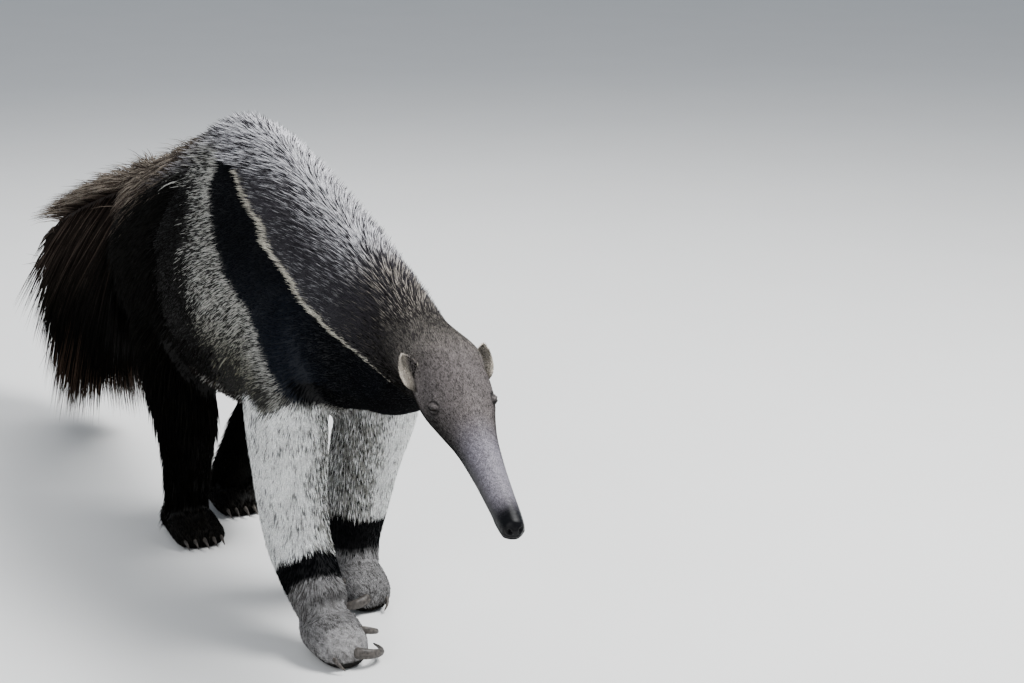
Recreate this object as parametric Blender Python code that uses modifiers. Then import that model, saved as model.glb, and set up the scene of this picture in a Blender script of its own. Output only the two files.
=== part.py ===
# A giant anteater, life size, as a still museum model: in mid stride, head lowered and turned a little right.
# Metres, +Z up, +X the way the body faces, +Y its left. The body is modelled whole, then parted by thin cuts.
import math
import random

import bmesh
import bpy
from mathutils import Matrix, Vector
from mathutils.bvhtree import BVHTree

GAP = 0.0003                # clear space kept between two pieces that touch
ROOM = 3.0                  # side of a cutter that has to reach past the whole animal
MERGE = 0.00005             # points closer than this are one point
BODY_CELL = 0.012           # how finely the joined body is resampled
BODY_TRIANGLES = 2600       # what the resampled body is thinned to
HEAD_SHARE = 0.60           # how much of the head's triangles stay
UP, LEFT, AHEAD = Vector((0, 0, 1)), Vector((0, 1, 0)), Vector((1, 0, 0))
SIDES = {"right": -1, "left": 1}

# Trunk and neck in side view, tail end first: top x and z, bottom x and z, half width, pinch towards the spine
TRUNK = [
    (-0.500, 0.545, -0.490, 0.400, 0.058, 0.2),
    (-0.430, 0.566, -0.420, 0.330, 0.096, 0.3),
    (-0.350, 0.597, -0.350, 0.280, 0.120, 0.4),
    (-0.220, 0.647, -0.220, 0.262, 0.132, 0.5),
    (-0.080, 0.696, -0.080, 0.256, 0.139, 0.6),
    (0.060, 0.690, 0.060, 0.266, 0.138, 0.6),
    (0.190, 0.652, 0.180, 0.292, 0.130, 0.6),
    (0.320, 0.610, 0.290, 0.328, 0.108, 0.5),
    (0.430, 0.573, 0.395, 0.352, 0.084, 0.4),
    (0.520, 0.538, 0.480, 0.366, 0.068, 0.2),
]

# The head's own line runs from between the ears to the end of the snout
EARS_AT = Vector((0.633, -0.0085, 0.462))
SNOUT_END = Vector((0.8975, -0.0485, 0.336))
HEAD_ROLL = math.radians(4)
# Along that line: distance past the ears, half width, height above it, depth below it
HEAD = [
    (-0.020, 0.053, 0.050, 0.066),
    (0.012, 0.049, 0.049, 0.058),
    (0.045, 0.0475, 0.045, 0.050),
    (0.085, 0.0390, 0.036, 0.040),
    (0.130, 0.0285, 0.028, 0.0295),
    (0.180, 0.0225, 0.023, 0.0235),
    (0.235, 0.0188, 0.020, 0.0195),
    (0.275, 0.0168, 0.0175, 0.0170),
    (0.292, 0.0138, 0.0142, 0.0138),
    (0.299, 0.0070, 0.0070, 0.0070),
]
NAPE_CUT = -0.030           # where the head ends behind the ears, along its own line
HEAD_ROOM = 0.40            # side of the box that holds the head and nothing else
EAR = (0.0250, 0.0125, 0.0080)          # half height, half width and half depth of an ear's shell
EAR_ROOT = (0.027, 0.0440, 0.007)       # along the head's line, out and above
EAR_TIP = (-0.015, 0.0560, 0.032)
EYE_RADIUS = 0.0068
EYE_PLACE = (0.0725, 0.0365, 0.0145)
NOSTRIL_RADIUS = 0.0032
NOSTRIL_PLACE = (0.2955, 0.0065, 0.0045)
MOUTH_LINE = [(0.262, 0.0177), (0.278, 0.0163), (0.290, 0.0137), (0.2975, 0.0075), (0.2995, 0.0)]
MOUTH_DROP = 0.0055
LIP_RADIUS = 0.0026
MOUTH_GROOVE = 0.0011

# The tail's core under its hair: x, top z, bottom z, half width
TAIL = [
    (-0.400, 0.555, 0.360, 0.072),
    (-0.510, 0.552, 0.310, 0.060),
    (-0.620, 0.528, 0.270, 0.050),
    (-0.725, 0.498, 0.245, 0.045),
    (-0.850, 0.458, 0.215, 0.040),
    (-0.930, 0.430, 0.205, 0.036),
    (-1.000, 0.404, 0.220, 0.030),
    (-1.055, 0.375, 0.255, 0.020),
    (-1.075, 0.345, 0.285, 0.010),
]
# The hem of the hanging hair: x, z of the tips
HEM = [(-0.500, 0.225), (-0.590, 0.186), (-0.690, 0.125), (-0.752, 0.085), (-0.815, 0.034),
       (-0.855, 0.030), (-0.930, 0.042), (-1.020, 0.062), (-1.090, 0.092), (-1.150, 0.140)]

# Locks of hair, each flat and tapered: length (0 where the hem sets it), width, thickness
TAIL_LOCK = (0.200, 0.058, 0.013)
INNER_LOCK = (0.0, 0.060, 0.013)
TAIL_TOP_LOCK = (0.100, 0.034, 0.010)
END_LOCK = (0.132, 0.048, 0.012)
CREST_LOCK = (0.060, 0.034, 0.010)
MANE_LOCK = (0.046, 0.034, 0.010)
MANE_END = 0.14             # the crest stands up in front of this x, and lies back behind it
MANE_LIFT = 0.75
CREST_LIFT = 0.36
RUMP_LOCK = (0.085, 0.036, 0.010)
THIGH_LOCK = (0.115, 0.044, 0.011)
ROOT_DEPTH = 0.014          # how far a lock's root goes under the skin
TAPER = [1.0, 1.05, 1.0, 0.82, 0.50]
HAIR_SEED = 5

# Legs from the body down: x, distance out from the middle, z
FORELEG_PATHS = {
    "right": [(0.262, 0.060, 0.50), (0.260, 0.078, 0.41), (0.257, 0.077, 0.32), (0.255, 0.072, 0.23),
              (0.266, 0.069, 0.155), (0.300, 0.066, 0.105), (0.345, 0.063, 0.065)],
    "left": [(0.252, 0.060, 0.50), (0.246, 0.078, 0.41), (0.226, 0.077, 0.32), (0.194, 0.071, 0.235),
             (0.164, 0.068, 0.150), (0.150, 0.066, 0.095), (0.158, 0.064, 0.050)],
}
HIND_LEG_PATHS = {
    "right": [(-0.240, 0.055, 0.48), (-0.230, 0.066, 0.38), (-0.218, 0.066, 0.29), (-0.212, 0.061, 0.20),
              (-0.220, 0.058, 0.12), (-0.228, 0.058, 0.050)],
    "left": [(-0.260, 0.055, 0.48), (-0.190, 0.066, 0.38), (-0.132, 0.066, 0.29), (-0.146, 0.061, 0.215),
             (-0.242, 0.058, 0.138), (-0.322, 0.058, 0.062)],
}
# Half thickness fore and aft and half thickness sideways at each of those points
FORELEG_GIRTH = [(0.085, 0.050), (0.088, 0.060), (0.077, 0.060), (0.064, 0.055),
                 (0.056, 0.050), (0.047, 0.046), (0.040, 0.042)]
HIND_LEG_GIRTH = [(0.095, 0.052), (0.108, 0.060), (0.098, 0.058), (0.075, 0.047), (0.050, 0.040), (0.042, 0.036)]

# A fist and a hind foot from the side, from the back forward: x past the foot's place, z, half height, half width
FIST_AT = {"right": (0.365, 0.060), "left": (0.176, 0.060)}
FIST = [
    (-0.046, 0.030, 0.024, 0.026),
    (-0.036, 0.034, 0.037, 0.037),
    (-0.010, 0.036, 0.040, 0.043),
    (0.022, 0.032, 0.036, 0.043),
    (0.048, 0.025, 0.029, 0.038),
    (0.062, 0.020, 0.020, 0.028),
    (0.067, 0.018, 0.010, 0.016),
]
HIND_FOOT_AT = {"right": (-0.216, 0.058), "left": (-0.338, 0.058)}
HIND_FOOT = [
    (-0.066, 0.020, 0.014, 0.018),
    (-0.058, 0.024, 0.028, 0.031),
    (-0.030, 0.030, 0.036, 0.037),
    (0.005, 0.027, 0.033, 0.042),
    (0.040, 0.019, 0.024, 0.044),
    (0.062, 0.014, 0.018, 0.040),
    (0.070, 0.012, 0.009, 0.028),
]
# Where a leg ends and its foot starts: a point on the leg's path and the way the leg runs there
WRISTS = {"right": ((0.318, 0.090), (0.75, -0.66)), "left": ((0.152, 0.075), (0.15, -1.0))}
ANKLES = {"right": ((-0.220, 0.066), (0.20, -1.0)), "left": ((-0.322, 0.070), (-0.60, -1.0))}

# Claws as bent cones, from inside the foot to the tip: x and y past the foot's place (y inwards), z
FORE_CLAWS = {
    "big": ([(0.040, 0.000, 0.024), (0.062, 0.012, 0.023), (0.067, 0.032, 0.020), (0.056, 0.050, 0.016),
             (0.034, 0.058, 0.013), (0.012, 0.058, 0.012)], 0.0095),
    "second": ([(0.016, 0.018, 0.042), (0.034, 0.036, 0.043), (0.032, 0.052, 0.038), (0.018, 0.061, 0.032),
                (0.002, 0.063, 0.028)], 0.0065),
    "small": ([(0.044, -0.020, 0.020), (0.062, -0.022, 0.018), (0.071, -0.018, 0.012), (0.075, -0.012, 0.006)],
              0.0048),
}
HIND_CLAW_SPREAD = [-0.030, -0.0155, 0.0, 0.0155, 0.029]
HIND_CLAW = [(0.044, 0.013), (0.066, 0.015), (0.078, 0.012), (0.088, 0.006)]
HIND_CLAW_RADIUS = 0.0052

# The legs part from the trunk along slanted faces: each leg's x range, then the outline across the body (out, z)
FORELEG_REACH = {"right": (0.130, 0.460), "left": (0.050, 0.350)}
HIND_REACH = {"right": (-0.345, -0.095), "left": (-0.450, -0.020)}
FORELEG_OUTLINE = [(0.0006, -0.10), (0.0006, 0.300), (0.16, 0.430), (0.30, 0.430), (0.30, -0.10)]
HIND_OUTLINE = [(0.0006, -0.10), (0.0006, 0.268), (0.13, 0.420), (0.30, 0.420), (0.30, -0.10)]
NECK_CUT = ((0.335, 0.45), (1.0, 0.25))
TAIL_CUT = ((-0.472, 0.45), (-1.0, 0.0))

# Colour, roughness and metallic value of each kind of piece
LOOKS = {
    "grey_fur": ((0.20, 0.19, 0.17), 0.85, 0.0),
    "speckled_fur": ((0.30, 0.28, 0.24), 0.9, 0.0),
    "pale_fur": ((0.55, 0.52, 0.46), 0.9, 0.0),
    "dark_fur": ((0.022, 0.018, 0.017), 0.85, 0.0),
    "tail_fur": ((0.070, 0.048, 0.036), 0.9, 0.0),
    "claw_horn": ((0.17, 0.15, 0.13), 0.45, 0.0),
    "eye_dark": ((0.012, 0.009, 0.008), 0.08, 0.0),
}


def collection(name):
    found = bpy.data.collections.get(name)
    if found is None:
        found = bpy.data.collections.new(name)
        bpy.context.scene.collection.children.link(found)
    return found


def new_object(name, mesh, home="giant_anteater"):
    made = bpy.data.objects.new(name, mesh)
    collection(home).objects.link(made)
    return made


def from_builder(name, builder, home="giant_anteater"):
    mesh = bpy.data.meshes.new(name)
    builder.to_mesh(mesh)
    builder.free()
    return new_object(name, mesh, home)


def as_cutter(thing):
    for home in list(thing.users_collection):
        home.objects.unlink(thing)
    collection("cutters").objects.link(thing)
    thing.hide_render = True
    thing.display_type = "WIRE"
    return thing


def discard(*things):
    for thing in things:
        bpy.data.objects.remove(thing)


def apply_modifiers(thing):
    """Replace the object's mesh by what its modifiers make of it."""
    graph = bpy.context.evaluated_depsgraph_get()
    mesh = bpy.data.meshes.new_from_object(thing.evaluated_get(graph))
    thing.modifiers.clear()
    thing.data = mesh


def keep_largest(thing):
    """Keep only the closed surface that encloses the most."""
    builder = bmesh.new()
    builder.from_mesh(thing.data)
    bmesh.ops.triangulate(builder, faces=builder.faces)
    left = set(builder.verts)
    groups = []
    while left:
        group = {left.pop()}
        edge = list(group)
        while edge:
            point = edge.pop()
            for link in point.link_edges:
                other = link.other_vert(point)
                if other in left:
                    left.remove(other)
                    group.add(other)
                    edge.append(other)
        groups.append(group)
    volumes = []
    for group in groups:
        faces = {face for point in group for face in point.link_faces}
        volumes.append(abs(sum(face.verts[0].co.dot(face.verts[1].co.cross(face.verts[2].co)) for face in faces)))
    best = volumes.index(max(volumes))
    for i, group in enumerate(groups):
        if i != best:
            bmesh.ops.delete(builder, geom=list(group), context="VERTS")
    builder.to_mesh(thing.data)
    builder.free()


def combine(thing, other, operation):
    """Join another object to this one, cut it away, or keep what both hold; the other one stays as it is."""
    modifier = thing.modifiers.new(operation.lower(), "BOOLEAN")
    modifier.operation = operation
    modifier.object = other
    apply_modifiers(thing)
    keep_largest(thing)


def copied(thing, name):
    made = new_object(name, thing.data.copy())
    made.matrix_world = thing.matrix_world.copy()
    return made


def grown(thing, by=GAP):
    """A cutter that is the same shape with every face moved out."""
    builder = bmesh.new()
    builder.from_mesh(thing.data)
    builder.normal_update()
    moves = [point.normal * (by * point.calc_shell_factor()) for point in builder.verts]
    for point, move in zip(builder.verts, moves):
        point.co += move
    made = from_builder(thing.name + "_grown", builder)
    made.matrix_world = thing.matrix_world.copy()
    return as_cutter(made)


def split(whole, cutter, name):
    """Part an object by a cutter: what lies inside becomes a new object, the rest keeps clear of it."""
    inside = copied(whole, name)
    combine(inside, cutter, "INTERSECT")
    wide = grown(cutter)
    combine(whole, wide, "DIFFERENCE")
    discard(wide, cutter)
    return inside


def half_space(point, direction, room=ROOM):
    """A large box whose near face passes through the point, on the side the direction shows."""
    bpy.ops.mesh.primitive_cube_add(size=room)
    box = bpy.context.object
    turn = Vector(direction).normalized().to_track_quat("Z", "Y").to_matrix().to_4x4()
    place = Matrix.Translation(Vector(point)) @ turn @ Matrix.Translation((0, 0, room / 2))
    box.data.transform(place)
    return as_cutter(box)


def prism(x_range, outline):
    """A cutter with a flat outline across the body (y, z), running along it over the x range."""
    curve = bpy.data.curves.new("outline", "CURVE")
    curve.dimensions = "2D"
    curve.fill_mode = "BOTH"
    curve.extrude = (x_range[1] - x_range[0]) / 2
    line = curve.splines.new("POLY")
    line.points.add(len(outline) - 1)
    for point, (y, z) in zip(line.points, outline):
        point.co = (y, z, 0, 1)
    line.use_cyclic_u = True
    flat = new_object("outline", curve)
    # The curve's own x, y and z become the body's y, z and x
    turn = Matrix(((0, 0, 1, (x_range[0] + x_range[1]) / 2), (1, 0, 0, 0), (0, 1, 0, 0), (0, 0, 0, 1)))
    flat.matrix_world = turn
    made = meshed(flat)
    return as_cutter(made)


def meshed(thing):
    """A curve object turned into a closed mesh object in world space."""
    bpy.context.view_layer.update()
    graph = bpy.context.evaluated_depsgraph_get()
    mesh = bpy.data.meshes.new_from_object(thing.evaluated_get(graph))
    builder = bmesh.new()
    builder.from_mesh(mesh)
    builder.transform(thing.matrix_world)
    bmesh.ops.remove_doubles(builder, verts=builder.verts, dist=MERGE)
    bmesh.ops.recalc_face_normals(builder, faces=builder.faces)
    made = from_builder(thing.name + "_mesh", builder)
    discard(thing)
    return made


def loft(name, rings):
    """One closed surface through rings that all have the same number of points."""
    builder = bmesh.new()
    rows = [[builder.verts.new(point) for point in ring] for ring in rings]
    count = len(rows[0])
    for near, far in zip(rows, rows[1:]):
        for i in range(count):
            j = (i + 1) % count
            builder.faces.new((near[i], near[j], far[j], far[i]))
    builder.faces.new(rows[0])
    builder.faces.new(rows[-1])
    bmesh.ops.recalc_face_normals(builder, faces=builder.faces)
    return from_builder(name, builder)


def smooth_rows(rows, steps):
    """Catmull-Rom rows between the given rows of numbers, the given ones kept."""
    made = []
    last = len(rows) - 1
    for i in range(last):
        before, start, end, after = (rows[max(0, min(last, i + k))] for k in (-1, 0, 1, 2))
        for step in range(steps):
            t = step / steps
            made.append([
                0.5 * (2 * b + (c - a) * t + (2 * a - 5 * b + 4 * c - d) * t * t
                       + (3 * b - a - 3 * c + d) * t ** 3)
                for a, b, c, d in zip(before, start, end, after)
            ])
    made.append(list(rows[last]))
    return made


def oval(centre, side, up, half_width, rise, drop, pinch=0.0, count=24):
    """A ring of points round a centre; pinch narrows its upper half to a ridge."""
    ring = []
    for i in range(count):
        angle = 2 * math.pi * i / count
        lift = math.sin(angle)
        height = lift * (rise if lift > 0 else drop)
        narrow = 1 - pinch * max(0.0, lift) ** 1.5
        ring.append(centre + side * (half_width * narrow * math.cos(angle)) + up * height)
    return ring


def head_frame():
    """The head's forward, left and up directions."""
    forward = (SNOUT_END - EARS_AT).normalized()
    left = Vector((-forward.y, forward.x, 0)).normalized()
    left = Matrix.Rotation(HEAD_ROLL, 3, forward) @ left
    return forward, left, forward.cross(left)


def head_point(along, out=0.0, above=0.0):
    forward, left, up = head_frame()
    return EARS_AT + forward * along + left * out + up * above


def trunk_and_head():
    """The trunk, neck and head as one lofted form."""
    rows = []
    for top_x, top_z, low_x, low_z, half_width, pinch in TRUNK:
        top, low = Vector((top_x, 0, top_z)), Vector((low_x, 0, low_z))
        half = (top - low) / 2
        rows.append([*(top + low) / 2, *LEFT, *half.normalized(), half_width, half.length, half.length, pinch])
    forward, left, up = head_frame()
    for along, half_width, rise, drop in HEAD:
        rows.append([*head_point(along), *left, *up, half_width, rise, drop, 0.0])
    rings = []
    for row in smooth_rows(rows, 3):
        centre, side, lift = Vector(row[0:3]), Vector(row[3:6]), Vector(row[6:9])
        rings.append(oval(centre, side.normalized(), lift.normalized(), *row[9:13]))
    return loft("trunk", rings)


def upright_loft(name, rows, steps):
    """A loft along x through upright ovals: x, y, z, half width, half height."""
    rings = []
    for x, y, z, half_width, half_height in smooth_rows(rows, steps):
        rings.append(oval(Vector((x, y, z)), LEFT, UP, half_width, half_height, half_height, 0.0, 20))
    return loft(name, rings)


def tail():
    rows = [(x, 0, (top + low) / 2, half_width, (top - low) / 2) for x, top, low, half_width in TAIL]
    return upright_loft("tail_form", rows, 3)


def leg(name, path, girth, side):
    rows = [(x, side * out, z, *thick) for (x, out, z), thick in zip(path, girth)]
    rows = smooth_rows(rows, 3)
    rings = []
    for i, row in enumerate(rows):
        ahead, behind = rows[min(i + 1, len(rows) - 1)], rows[max(i - 1, 0)]
        along = (Vector(ahead[:3]) - Vector(behind[:3])).normalized()
        across = (LEFT - along * LEFT.dot(along)).normalized()
        rings.append(oval(Vector(row[:3]), across.cross(along), across, row[3], row[4], row[4], 0.0, 20))
    return loft(name, rings)


def foot(name, place, shape, side):
    rows = [(place[0] + x, side * place[1], z, half_width, half_height) for x, z, half_height, half_width in shape]
    return upright_loft(name, rows, 2)


def between(table, x):
    """Read a list of (x, value) pairs, in falling x, at any x."""
    for (x0, low), (x1, high) in zip(table, table[1:]):
        if x >= x1:
            share = min(1.0, max(0.0, (x - x0) / (x1 - x0)))
            return low + (high - low) * share
    return table[-1][1]


def lock(root, normal, lie, sizes, lift, droop):
    """One flat tapered lock: it leaves the skin along its lie, lifted a little, and sags towards the floor."""
    length, width, thickness = sizes
    direction = (lie.normalized() + normal * lift).normalized()
    point = root - normal * ROOT_DEPTH
    step = (length + ROOT_DEPTH) / len(TAPER)
    rings = []
    for share in TAPER:
        side = direction.cross(normal).normalized()
        flat = side.cross(direction)
        half, thick = side * (width * share / 2), flat * (thickness * (0.5 + share / 2) / 2)
        rings.append([point + half, point + thick, point - half, point - thick])
        point = point + direction * step
        direction = (direction - UP * droop).normalized()
    builder = bmesh.new()
    rows = [[builder.verts.new(place) for place in ring] for ring in rings]
    tip = builder.verts.new(point)
    for near, far in zip(rows, rows[1:]):
        for i in range(4):
            builder.faces.new((near[i], near[(i + 1) % 4], far[(i + 1) % 4], far[i]))
    for i in range(4):
        builder.faces.new((rows[-1][i], rows[-1][(i + 1) % 4], tip))
    builder.faces.new(rows[0])
    bmesh.ops.recalc_face_normals(builder, faces=builder.faces)
    return from_builder("lock", builder, "locks")


def varied(sizes, dice, length=None):
    """The same sizes, each a little different."""
    return (length or sizes[0] * dice.uniform(0.88, 1.12), sizes[1] * dice.uniform(0.85, 1.15),
            sizes[2] * dice.uniform(0.9, 1.1))


def steps_between(start, end, spacing):
    count = max(1, round(abs(end - start) / spacing))
    return [start + (end - start) * i / count for i in range(count + 1)]


def rooted(skin, start, towards):
    """Where a straight line first meets the skin, and the way the skin faces there."""
    place, normal, _, _ = skin.ray_cast(start, towards)
    return place, normal


def tail_hair(skin, dice):
    """Two tiers down each side and one down the middle, a fan off the end and short hair along the top."""
    tops = [(x, top) for x, top, low, half_width in TAIL]
    lows = [(x, low) for x, top, low, half_width in TAIL]
    for side in SIDES.values():
        for x in steps_between(-0.520, -1.020, 0.072):
            place, normal = rooted(skin, Vector((x, side, between(tops, x) - 0.055)), LEFT * -side)
            lie = Vector((dice.uniform(-0.22, -0.08), 0, -1))
            lock(place, normal, lie, varied(TAIL_LOCK, dice), 0.20, 0.10)
        for x in steps_between(-0.520, -1.040, 0.050):
            x += dice.uniform(-0.006, 0.006)
            place, normal = rooted(skin, Vector((x, side, between(lows, x) + 0.045)), LEFT * -side)
            lie = Vector((dice.uniform(-0.13, -0.01), 0, -1))
            length = (place.z - between(HEM, x - 0.03) - dice.uniform(0.0, 0.024)) * 1.02
            lock(place, normal, lie, varied(TAIL_LOCK, dice, length), 0.16, 0.10)
    for x in steps_between(-0.545, -1.020, 0.055):
        place, normal = rooted(skin, Vector((x, 0, -1.0)), UP)
        lie = Vector((dice.uniform(-0.13, -0.01), 0, -1))
        length = (place.z - between(HEM, x - 0.02) - dice.uniform(0.0, 0.012)) * 1.02
        across = LEFT + UP * 0.1
        lock(place + UP * 0.012, across.normalized(), lie, varied(INNER_LOCK, dice, length), 0.0, 0.02)
    for z in steps_between(0.262, 0.372, 0.0155):
        place, normal = rooted(skin, Vector((-2.0, dice.uniform(-0.006, 0.006), z)), AHEAD)
        lie = Vector((-1, dice.uniform(-0.15, 0.15), (z - 0.36) * 6))
        across = lie.normalized().cross(LEFT).normalized()
        lock(place + AHEAD * 0.02, across, lie, varied(END_LOCK, dice), 0.0, 0.38)
    for i, x in enumerate(steps_between(-0.480, -1.020, 0.050)):
        place, normal = rooted(skin, Vector((x, 0.014 * (1 if i % 2 else -1), 1.0)), -UP)
        lie = Vector((-1, dice.uniform(-0.12, 0.12), 0.0))
        lock(place, normal, lie, varied(TAIL_TOP_LOCK, dice), 0.36, 0.05)


def body_hair(skin, dice):
    """The crest from the nape along the back, the rump's hair and the hair that hangs on the thighs."""
    for i, x in enumerate(steps_between(0.500, -0.330, 0.0275)):
        place, normal = rooted(skin, Vector((x, 0.012 * (1 if i % 2 else -1), 1.0)), -UP)
        lie = Vector((-1, dice.uniform(-0.25, 0.25), 0.0))
        stands = x > MANE_END
        sizes = MANE_LOCK if stands else CREST_LOCK
        lock(place, normal, lie, varied(sizes, dice), MANE_LIFT if stands else CREST_LIFT, 0.0)
    for x in steps_between(-0.350, -0.455, 0.035):
        for y in (-0.048, 0.0, 0.048):
            place, normal = rooted(skin, Vector((x, y + dice.uniform(-0.008, 0.008), 1.0)), -UP)
            lie = Vector((-1, y * 4, -0.3))
            lock(place, normal, lie, varied(RUMP_LOCK, dice), 0.30, 0.05)
    for name, side in SIDES.items():
        middle = HIND_LEG_PATHS[name][1][0]
        for row, z in enumerate((0.400, 0.330)):
            for x in steps_between(middle - 0.110, middle + 0.085, 0.058):
                x += 0.029 * row + dice.uniform(-0.006, 0.006)
                place, normal = rooted(skin, Vector((x, side, z)), LEFT * -side)
                lie = Vector((dice.uniform(-0.35, -0.15), 0, -1))
                lock(place, normal, lie, varied(THIGH_LOCK, dice), 0.18, 0.06)


def grow_hair(body):
    """Every lock made, then all of them fused to the body in one go."""
    dice = random.Random(HAIR_SEED)
    skin = BVHTree.FromPolygons([point.co for point in body.data.vertices],
                                [face.vertices for face in body.data.polygons])
    tail_hair(skin, dice)
    body_hair(skin, dice)
    fuse = body.modifiers.new("fuse", "BOOLEAN")
    fuse.operation = "UNION"
    fuse.operand_type = "COLLECTION"
    fuse.collection = collection("locks")
    bpy.context.view_layer.update()
    apply_modifiers(body)
    keep_largest(body)
    discard(*collection("locks").objects)
    bpy.data.collections.remove(collection("locks"))


def resampled(name, pieces, cell, triangles):
    """Melt overlapping pieces into one smooth closed skin."""
    builder = bmesh.new()
    for piece in pieces:
        builder.from_mesh(piece.data)
    whole = from_builder(name, builder)
    melt = whole.modifiers.new("melt", "REMESH")
    melt.mode = "VOXEL"
    melt.voxel_size = cell
    ease = whole.modifiers.new("ease", "SMOOTH")
    ease.factor = 0.5
    ease.iterations = 4
    apply_modifiers(whole)
    count = sum(len(face.vertices) - 2 for face in whole.data.polygons)
    thin = whole.modifiers.new("thin", "DECIMATE")
    thin.ratio = min(1.0, triangles / count)
    apply_modifiers(whole)
    keep_largest(whole)
    discard(*pieces)
    return whole


def bent_cone(name, path, radius, steps=2, tip=0.12, count=6, flat=0.8):
    """A claw: round at the root, thinning along a bent path to a small blunt tip."""
    rows = smooth_rows([list(point) for point in path], steps)
    rings = []
    last = len(rows) - 1
    for i, row in enumerate(rows):
        ahead, behind = Vector(rows[min(i + 1, last)]), Vector(rows[max(i - 1, 0)])
        along = (ahead - behind).normalized()
        side = along.cross(UP).normalized()
        share = i / last
        size = radius * (1 - (1 - tip) * share ** 1.4)
        rings.append(oval(Vector(row), side, side.cross(along), size * flat, size, size, 0.0, count))
    return loft(name, rings)


def tube(name, points, radius):
    """A round rod through the points, with closed ends."""
    curve = bpy.data.curves.new(name, "CURVE")
    curve.dimensions = "3D"
    curve.bevel_depth = radius
    curve.bevel_resolution = 1
    curve.use_fill_caps = True
    line = curve.splines.new("POLY")
    line.points.add(len(points) - 1)
    for point, place in zip(line.points, points):
        point.co = (*place, 1)
    return meshed(new_object(name, curve))


def ball(name, centre, radii, axes=None, segments=16, rings=10):
    """A sphere or an ellipsoid, its three half lengths along the given axes."""
    builder = bmesh.new()
    bmesh.ops.create_uvsphere(builder, u_segments=segments, v_segments=rings, radius=1.0)
    turn = Matrix(axes).transposed() if axes else Matrix.Identity(3)
    place = Matrix.Translation(centre) @ turn.to_4x4() @ Matrix.Diagonal((*radii, 1.0))
    builder.transform(place)
    bmesh.ops.recalc_face_normals(builder, faces=builder.faces)
    return from_builder(name, builder)


def eye_centre(side):
    along, out, above = EYE_PLACE
    return head_point(along, side * out, above)


def add_lids(head):
    """A raised rim of skin round each eye, longer than it is high."""
    forward, left, up = head_frame()
    for side in SIDES.values():
        outward = (left * side + up * 0.35 + forward * 0.25).normalized()
        along = (forward - outward * forward.dot(outward)).normalized()
        across = outward.cross(along)
        centre = eye_centre(side) + outward * (EYE_RADIUS * 0.45)
        for rise in (1, -1):
            arc = []
            for i in range(7):
                angle = math.pi * i / 6
                reach = along * (EYE_RADIUS * 1.3 * math.cos(angle))
                arc.append(centre + reach + across * (rise * EYE_RADIUS * 0.85 * math.sin(angle)))
            lid = tube("lid", arc, EYE_RADIUS * 0.36)
            combine(head, lid, "UNION")
            discard(lid)


def mouth_path(drop, inset):
    """A line round the end of the snout, at one level, from one side to the other."""
    one_side = [(along - inset, out - inset if out else 0.0) for along, out in MOUTH_LINE]
    points = [head_point(along, out, -drop) for along, out in one_side]
    points += [head_point(along, -out, -drop) for along, out in reversed(one_side[:-1])]
    return points


def shape_mouth(head):
    """Two lips, and the line between them."""
    for drop in (MOUTH_DROP - LIP_RADIUS, MOUTH_DROP + LIP_RADIUS):
        lip = tube("lip", mouth_path(drop, LIP_RADIUS * 0.9), LIP_RADIUS)
        combine(head, lip, "UNION")
        discard(lip)
    line = as_cutter(tube("mouth_line", mouth_path(MOUTH_DROP, 0.0002), MOUTH_GROOVE))
    combine(head, line, "DIFFERENCE")
    discard(line)
    forward, left, up = head_frame()
    for side in SIDES.values():
        along, out, above = NOSTRIL_PLACE
        axes = [(forward + left * side * 0.7).normalized(), up.cross(forward + left * side * 0.7).normalized(), up]
        pit = as_cutter(ball("nostril", head_point(along, side * out, above),
                             (NOSTRIL_RADIUS * 2, NOSTRIL_RADIUS * 0.8, NOSTRIL_RADIUS), axes, 10, 6))
        combine(head, pit, "DIFFERENCE")
        discard(pit)


def ear(name, side, head):
    """A small leaf-shaped cupped ear that leans back, hollow on its upper side."""
    forward, left, up = head_frame()
    root, tip = (head_point(along, side * out, above) for along, out, above in (EAR_ROOT, EAR_TIP))
    tall = (tip - root).normalized()
    facing = forward * 0.52 + left * side * 0.21 + up * 0.83
    facing = (facing - tall * facing.dot(tall)).normalized()
    wide = tall.cross(facing)
    centre = (root + tip) / 2
    shell = ball(name, centre, EAR, (tall, wide, facing), 14, 8)
    hollow = as_cutter(ball("hollow", centre + facing * 0.0055, (EAR[0] * 0.84, EAR[1] * 0.82, EAR[2] * 0.95),
                            (tall, wide, facing), 14, 8))
    combine(shell, hollow, "DIFFERENCE")
    discard(hollow)
    wide_head = grown(head)
    combine(shell, wide_head, "DIFFERENCE")
    discard(wide_head)
    return shell


def seat(thing, holder):
    """Cut the holder back so that it keeps clear of a piece set into it."""
    wide = grown(thing)
    combine(holder, wide, "DIFFERENCE")
    discard(wide)


def mirrored_outline(outline, side):
    points = [(side * out, z) for out, z in outline]
    return points if side > 0 else list(reversed(points))


def side_place(place, x, inwards, z, side):
    return Vector((place[0] + x, side * (place[1] - inwards), z))


def dress(thing, look):
    colour, roughness, metallic = LOOKS[look]
    material = bpy.data.materials.new(thing.name)
    material.use_nodes = True
    shader = material.node_tree.nodes["Principled BSDF"]
    shader.inputs["Base Color"].default_value = (*colour, 1.0)
    shader.inputs["Roughness"].default_value = roughness
    shader.inputs["Metallic"].default_value = metallic
    thing.data.materials.clear()
    thing.data.materials.append(material)
    thing.data.shade_smooth()
    thing.data.set_sharp_from_angle(angle=math.radians(50))


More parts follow.
